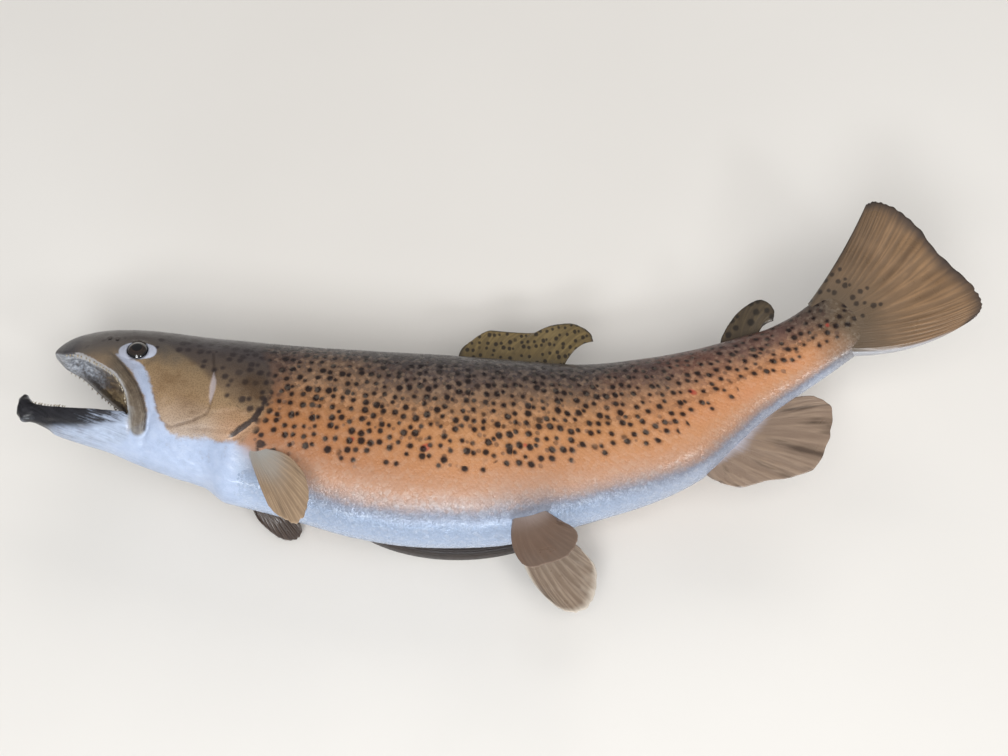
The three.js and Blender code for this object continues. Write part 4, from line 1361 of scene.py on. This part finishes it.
def fin_finish(
        name, rib, web, margin, cloudy, root, spotted=0.0, edge=(0.86, 1.0), bands=0.0,
        root_reach=0.26, tail=False):
    """A fin's paint: ribs, the web between, clouds, a margin, a root, perhaps spots or bands."""
    paint = Paint(name)
    place, web_place = paint.place(), paint.held_place("web")
    ray, reach, across = (paint.held(key) for key in ("ray", "reach", "across"))
    cloud = paint.clouds(place, 60, 4)
    fine = paint.clouds(web_place, (900, 90, 1), 3)
    broad = paint.clouds(web_place, (170, 14, 1), 2)
    ribs = ray * reach.ease(0.0, 0.6, 0.1, 0.55) + fine * 0.9 + broad * 0.9
    paint.colour = paint.mix(ribs.ease(-0.2, 0.9), web, rib)
    paint.tint((cloud * 1.2 + fine * 0.5).ease(0.0, 0.5) * 0.6, cloudy)
    if bands:
        dark = (broad * 1.6 + fine * 0.3).ease(0.02, 0.3) * reach.ease(0.15, 0.5)
        paint.shade(dark * bands, (96, 86, 84))
    ends = (reach + cloud * 0.16 + fine * 0.05).ease(*edge)
    ends = ends.most((across + cloud * 0.05).ease(0.06, 0.0) * 0.8)
    paint.tint(ends * 0.85, margin)
    at_root = (reach + cloud * 0.2 + fine * 0.15).ease(root_reach, -0.04)
    paint.tint(at_root, root)
    if tail:
        upper = (across + cloud * 0.2).ease(0.55, 0.05) * reach.ease(0.1, 0.5)
        paint.shade(upper * 0.8, (188, 192, 198))
        lower = (across + fine * 0.02).ease(0.95, 0.985) * reach.ease(0.9, 0.6)
        paint.tint(lower * 0.7, (166, 168, 174))
        marks = spots(
            paint, paint.held_place("flat"), SPOT_PITCH, 0.0015,
            (reach + cloud * 0.3).ease(0.4, 0.22) * across.ease(0.66, 0.5))
        paint.tint(marks * 0.8, (40, 34, 30))
    elif spotted:
        marks = spots(
            paint, paint.held_place("flat"), spotted, spotted * 0.25, reach.ease(-0.05, 0.1) * 0.95)
        paint.tint(marks * 0.9, (38, 33, 28))
    steps = paint.clouds(web_place, (200, 1400, 1), 2)
    height = steps * ray * 0.2 + fine * 0.8 + cloud * 0.8
    return paint.finish(
        (cloud + 0.5).ease(0.3, 0.7, 0.26, 0.5), height, 0.0003,
        coat=(cloud + 0.5).ease(0.2, 0.8, 0.3, 0.7), **LACQUER)


FIN_FINISHES = {
    "dorsal_fin": fin_finish(
        "olive spotted fin", rib=(124, 106, 70), web=(96, 82, 56),
        margin=(44, 42, 44), cloudy=(136, 118, 80), root=(112, 103, 84),
        spotted=0.0051, edge=(0.9, 1.0)),
    "adipose_fin": fin_finish(
        "dark adipose fin", rib=(86, 74, 56), web=(70, 60, 48),
        margin=(40, 34, 31), cloudy=(100, 84, 62), root=(84, 74, 60),
        spotted=0.0075, edge=(0.86, 1.05)),
    "tail_fin": fin_finish(
        "olive tail fin", rib=(146, 115, 84), web=(114, 91, 69),
        margin=(48, 45, 46), cloudy=(154, 122, 90), root=(91, 77, 62),
        edge=(0.84, 1.02), bands=0.4, root_reach=0.55, tail=True),
    "anal_fin": fin_finish(
        "brown anal fin", rib=(146, 126, 108), web=(124, 105, 90),
        margin=(110, 96, 84), cloudy=(150, 124, 98), root=(178, 176, 186),
        edge=(1.0, 1.2), bands=0.75),
    "pelvic_fin_left": fin_finish(
        "brown pelvic fin", rib=(130, 110, 96), web=(118, 99, 86),
        margin=(126, 106, 92), cloudy=(124, 104, 90), root=(166, 148, 138),
        edge=(0.95, 1.1), root_reach=0.42),
    # paler than the left pelvic fin: partly its own colour, partly a painted sheen from its gloss
    "pelvic_fin_right": fin_finish(
        "pelvic fin with painted sheen", rib=(152, 135, 118), web=(122, 105, 90),
        margin=(206, 196, 182), cloudy=(184, 172, 156), root=(128, 112, 98),
        edge=(0.9, 1.03), bands=0.25),
    "pectoral_fin_left": fin_finish(
        "tan pectoral fin", rib=(184, 158, 130), web=(148, 125, 101),
        margin=(156, 134, 112), cloudy=(168, 142, 112), root=(172, 172, 168),
        edge=(0.95, 1.1), bands=0.5, root_reach=0.7),
    # darker than the left pectoral fin: painted shadow, where it hangs in the shade under the belly
    "pectoral_fin_right": fin_finish(
        "pectoral fin in painted shadow", rib=(80, 66, 56), web=(60, 49, 42),
        margin=(150, 140, 130), cloudy=(92, 78, 68), root=(60, 50, 44),
        edge=(0.98, 1.05)),
}


for name, shape in FINS.items():
    blade, blade_faces, values = fin_blade(shape, np.random.default_rng(len(name)))
    bent = backbone.bend(blade) * MM
    fin = new_piece(name + "_rays", bent, facing(bent, blade_faces), FIN_FINISHES[name], values)
    place(fin, "fin", name)


# ---------------------------------------------------------------- the eyes


def eye_finish():
    """A dark pupil in a brown iris, under clear glass."""
    paint = Paint("painted glass eye")
    gaze, place = paint.held("gaze"), paint.held_place("iris")
    flecks = paint.clouds(place, 3.2, 4)
    fibres = paint.clouds(place, 9.0, 3)
    paint.colour = (gaze + flecks * 0.05).ramp(
        (0.0, (6, 4, 5)), (0.5, (8, 5, 6)), (0.55, (60, 44, 32)),
        (0.64, (40, 31, 27)), (0.76, (44, 34, 28)), (0.84, (50, 41, 33)),
        (0.9, (30, 25, 22)), (1.0, (8, 7, 8)))
    fibres = (fibres + 0.2).ease(0.0, 0.4) * gaze.ease(0.44, 0.5)
    paint.shade(fibres * 0.6, (120, 96, 70))
    return paint.finish(
        0.12, coat=1.0, **{"Coat Roughness": 0.02, "Coat IOR": 1.6, "IOR": 1.5})


IRIS = 0.78  # the iris's radius, as a share of the ball's


def glass_eye(side, name, finish):
    """A glass ball with its pupil on the outward side, drawn to a point in front."""
    centre = np.array(eye_centre(side))
    out = slope_of(body_distance, centre[None] + [[0, 0, side * EYE["depth"]]])[0]
    out /= np.linalg.norm(out)
    ahead = np.array([-1.0, 0, 0]) - out * -out[0]
    ahead /= np.linalg.norm(ahead)
    up = np.cross(out, ahead)
    rings, around = 40, 64
    polar = np.linspace(0, math.pi, rings + 1)[1:-1, None]
    turn = np.linspace(0, 2 * math.pi, around, endpoint=False)[None, :]
    local = np.stack(np.broadcast_arrays(
        np.sin(polar) * np.cos(turn), np.sin(polar) * np.sin(turn), np.cos(polar)), -1)
    local = np.vstack([[[0, 0, 1]], local.reshape(-1, 3), [[0, 0, -1]]])
    points = centre + EYE["radius"] * (
        local[:, :1] * ahead + local[:, 1:2] * up + local[:, 2:] * out)
    grid = 1 + np.arange((rings - 1) * around).reshape(-1, around)
    triangles = closed_rings(grid, 0, len(points) - 1)
    bent = backbone.bend(points) * MM
    x, y = local[:, 0], local[:, 1]
    off_axis = np.hypot(x, y)
    drawn = off_axis / (1 + 0.22 * np.clip(x, 0, 1) ** 2 / np.maximum(off_axis, 0.05))
    gaze = np.where(local[:, 2] > 0, drawn / IRIS, 1.2)
    ball = new_piece(name + "_glass", bent, facing(bent, triangles), finish, {
        "gaze": np.minimum(gaze, 1.2), "iris": local})
    place(ball, "glass_eye", name)


eye_glass = eye_finish()
for side, name in ((1, "eye_left"), (-1, "eye_right")):
    glass_eye(side, name, eye_glass)


# ---------------------------------------------------------------- the teeth


TOOTH = {"Length": 2.4 * MM, "Breadth": 0.85 * MM}


def tooth_finish():
    """Ivory, a little stained."""
    paint = Paint("tooth ivory")
    shade = paint.noise(paint.place(), 900, 2)
    paint.colour = shade.ramp((0.3, (118, 105, 84)), (0.7, (182, 172, 152)))
    return paint.finish(shade.ease(0.2, 0.8, 0.25, 0.4), **LACQUER)


def tooth_tree(finish):
    """Curved teeth stood on points, which carry their aim and size."""
    tree = bpy.data.node_groups.new("teeth on their gums", "GeometryNodeTree")
    face = tree.interface
    face.new_socket("Gums", in_out="INPUT", socket_type="NodeSocketGeometry")
    for label, value in TOOTH.items():
        face.new_socket(label, in_out="INPUT", socket_type="NodeSocketFloat").default_value = value
    face.new_socket("Teeth", in_out="OUTPUT", socket_type="NodeSocketGeometry")

    def node(kind, settings=None, inputs=None):
        return add_node(tree, kind, settings, inputs)

    given = node("NodeGroupInput").outputs
    cone = node("GeometryNodeMeshCone", None, {
        "Vertices": 8, "Side Segments": 4, "Radius Top": 0.00008,
        "Radius Bottom": given["Breadth"], "Depth": given["Length"]})
    aim = node("GeometryNodeInputNamedAttribute", {"data_type": "FLOAT_VECTOR"}, {"Name": "aim"})
    size = node("GeometryNodeInputNamedAttribute", {"data_type": "FLOAT"}, {"Name": "size"})
    turn = node("FunctionNodeAlignRotationToVector", {"axis": "Z"}, {"Vector": aim.outputs[0]})
    stood = node("GeometryNodeInstanceOnPoints", None, {
        "Points": given["Gums"], "Instance": cone.outputs["Mesh"],
        "Rotation": turn.outputs[0], "Scale": size.outputs[0]})
    real = node("GeometryNodeRealizeInstances", None, {0: stood.outputs[0]})
    smooth = node("GeometryNodeSetShadeSmooth", None, {0: real.outputs[0]})
    painted = node("GeometryNodeSetMaterial", None, {0: smooth.outputs[0], "Material": finish})
    tree.links.new(painted.outputs[0], node("NodeGroupOutput").inputs[0])
    return tree


def gum_rows():
    """The roots, aims and sizes of all the teeth, in the straight fish."""
    rng = np.random.default_rng(5)
    roots, aims, sizes = [], [], []

    def row(edge, count, inset, up, low, high, start=0.0, end=1.0, sides=(1, -1)):
        for side in sides:
            at = spline(edge, np.linspace(start, end, count))[:, :2]
            for u, v in at + rng.uniform(-0.5, 0.5, at.shape) * [1, 0]:
                wide = float(surface_width(np.array(u), np.array(v))) - inset
                roots.append((u, v + up * 0.4, side * max(wide, 0.6)))
                aims.append((0.35, up, -0.25 * side))
                sizes.append(rng.uniform(low, high))

    row(UPPER_LIP, 26, 1.6, -1, 0.5, 0.8, 0.04, 0.92)
    row(LOWER_LIP, 12, 1.9, 1, 0.5, 0.8, 0.45, 0.98)
    return np.array(roots), np.array(aims), np.array(sizes)


roots, aims, sizes = gum_rows()
bent = backbone.bend(roots)
bent_aims = backbone.bend(roots + aims) - bent
gums = new_piece("gums", bent * MM, np.zeros((0, 3)), None, {"aim": bent_aims, "size": sizes})
stand = gums.modifiers.new("teeth", "NODES")
stand.node_group = tooth_tree(tooth_finish())
for item in stand.node_group.interface.items_tree:
    if item.name in TOOTH:
        stand[item.identifier] = TOOTH[item.name]
grown = gums.evaluated_get(bpy.context.evaluated_depsgraph_get())
teeth = add_object("teeth", bpy.data.meshes.new_from_object(grown))
bpy.data.objects.remove(gums)
place(teeth, "jaw_skin")


# ---------------------------------------------------------------- the board

BOARD = {"length": 162, "width": 92, "cove": 4, "chamfer": 1}


def board_finish():
    """Dark wood, its grain along the board."""
    paint = Paint("dark varnished walnut")
    place = paint.place()
    rings = paint.noise(paint.stretch(place, (14, 150, 60)), 1.0, 4, 0.6)
    pores = paint.noise(paint.stretch(place, (160, 2400, 900)), 1.0, 2)
    paint.colour = (rings + (pores - 0.5) * 0.4).ramp(
        (0.25, (20, 13, 10)), (0.5, (38, 25, 19)), (0.62, (26, 17, 13)),
        (0.8, (50, 34, 26)))
    return paint.finish(
        pores.ease(0.3, 0.7, 0.45, 0.6), pores * -1, 0.0002,
        coat=rings.ease(0.2, 0.8, 0.05, 0.2), **LACQUER)


def board_mesh():
    """An oval lathed with a coved edge."""
    r, top, cove = BOARD["length"] / 2, BOARD_TOP, BOARD["cove"]
    turn = np.linspace(0, math.pi / 2, 9)
    profile = [(r - BOARD["chamfer"], 0), (r, BOARD["chamfer"]), (r, top - cove - 0.6)]
    profile += [(r - 0.5 - (cove - 1) * (1 - math.cos(t)), top - cove + (cove - 0.8) * math.sin(t))
                for t in turn]
    profile += [(r - cove + 0.2, top - 0.3), (r - cove - 0.6, top)]
    around = 144
    angle = np.linspace(0, 2 * math.pi, around, endpoint=False)
    ratio = BOARD["width"] / BOARD["length"]
    rows = [np.stack([x * np.cos(angle), x * np.sin(angle) * ratio, 0 * angle + z], -1)
            for x, z in profile]
    points = np.vstack([*rows, [[0, 0, 0], [0, 0, top]]])
    grid = np.arange(len(rows) * around).reshape(len(rows), around)
    return points, closed_rings(grid, len(points) - 2, len(points) - 1)


points, faces = board_mesh()
board = new_piece("board_oval", points * MM, facing(points, faces), board_finish())
board.data.set_sharp_from_angle(angle=math.radians(40))
place(board, "board_wood", "board")


# ---------------------------------------------------------------- floor, light and camera


FLOOR_REACH = 4  # metres to each side


def floor_finish():
    """Pale and matt."""
    paint = Paint("pale studio floor")
    soft = paint.noise(paint.place(), 6, 3)
    paint.colour = soft.ramp((0.3, (217, 214, 209)), (0.7, (219, 216, 211)))
    return paint.finish(soft.ease(0.3, 0.7, 0.58, 0.62))


corners = np.array([[-1, -1, 0], [1, -1, 0], [1, 1, 0], [-1, 1, 0]], float) * FLOOR_REACH
new_piece("floor", corners, np.array([[0, 1, 2, 3]]), floor_finish())


def stand(made, at, gaze):
    """Puts a lamp or camera in its place, looking along a direction."""
    made.location = at
    made.rotation_euler = gaze.to_track_quat("-Z", "Y").to_euler()


def lamp(name, at, towards, size, watts, tint, glossy):
    """An oblong lamp; the glossy ones can be seen mirrored."""
    data = bpy.data.lights.new(name, "AREA")
    data.shape, data.size, data.size_y = "RECTANGLE", size[0], size[1]
    data.energy, data.color = watts, tint
    made = add_object(name, data)
    stand(made, at, Vector(towards) - Vector(at))
    made.visible_glossy = glossy


COOL, WARM = (0.96, 0.98, 1.0), (1.0, 0.97, 0.94)
for setting in (
    ("window", (-0.1, -2.1, 0.5), (0, 0, 0.06), (1.8, 0.12), 22, (0.84, 0.92, 1.0), True),
    ("skylight", (-0.2, -1.42, 1.45), (-0.15, 0, 0.06), (0.6, 0.3), 8, COOL, True),
    ("roof_light", (-0.25, -1.0, 1.65), (-0.2, 0, 0.06), (0.45, 0.4), 4, COOL, True),
    ("doorway", (1.0, -1.15, 1.4), (0.1, 0, 0.06), (0.24, 0.24), 4, COOL, True),
    ("ceiling", (0.2, -0.9, 2.0), (0, 0, 0.05), (2.2, 1.6), 38, (1.0, 0.975, 0.95), False),
    ("back", (0.4, 1.6, 1.4), (0, 0, 0.05), (1.6, 1.0), 14, WARM, False),
):
    lamp(*setting)

world = bpy.data.worlds.new("studio")
world.use_nodes = True
sky = world.node_tree.nodes["Background"].inputs
sky["Color"].default_value, sky["Strength"].default_value = (0.92, 0.95, 1.0, 1), 0.2
bpy.context.scene.world = world
bpy.context.scene.view_settings.view_transform = "Standard"

AIM, DISTANCE, ELEVATION = Vector((0.0288, 0.077, 0.0)), 1.026, math.radians(67.5)
SENSOR, LENS, NEAREST = 36, 56.2, 0.05
camera = add_object("camera", bpy.data.cameras.new("camera"))
back = Vector((0, -math.cos(ELEVATION), math.sin(ELEVATION)))
stand(camera, AIM + back * DISTANCE, -back)
camera.data.sensor_width, camera.data.lens, camera.data.clip_start = SENSOR, LENS, NEAREST
bpy.context.scene.camera = camera
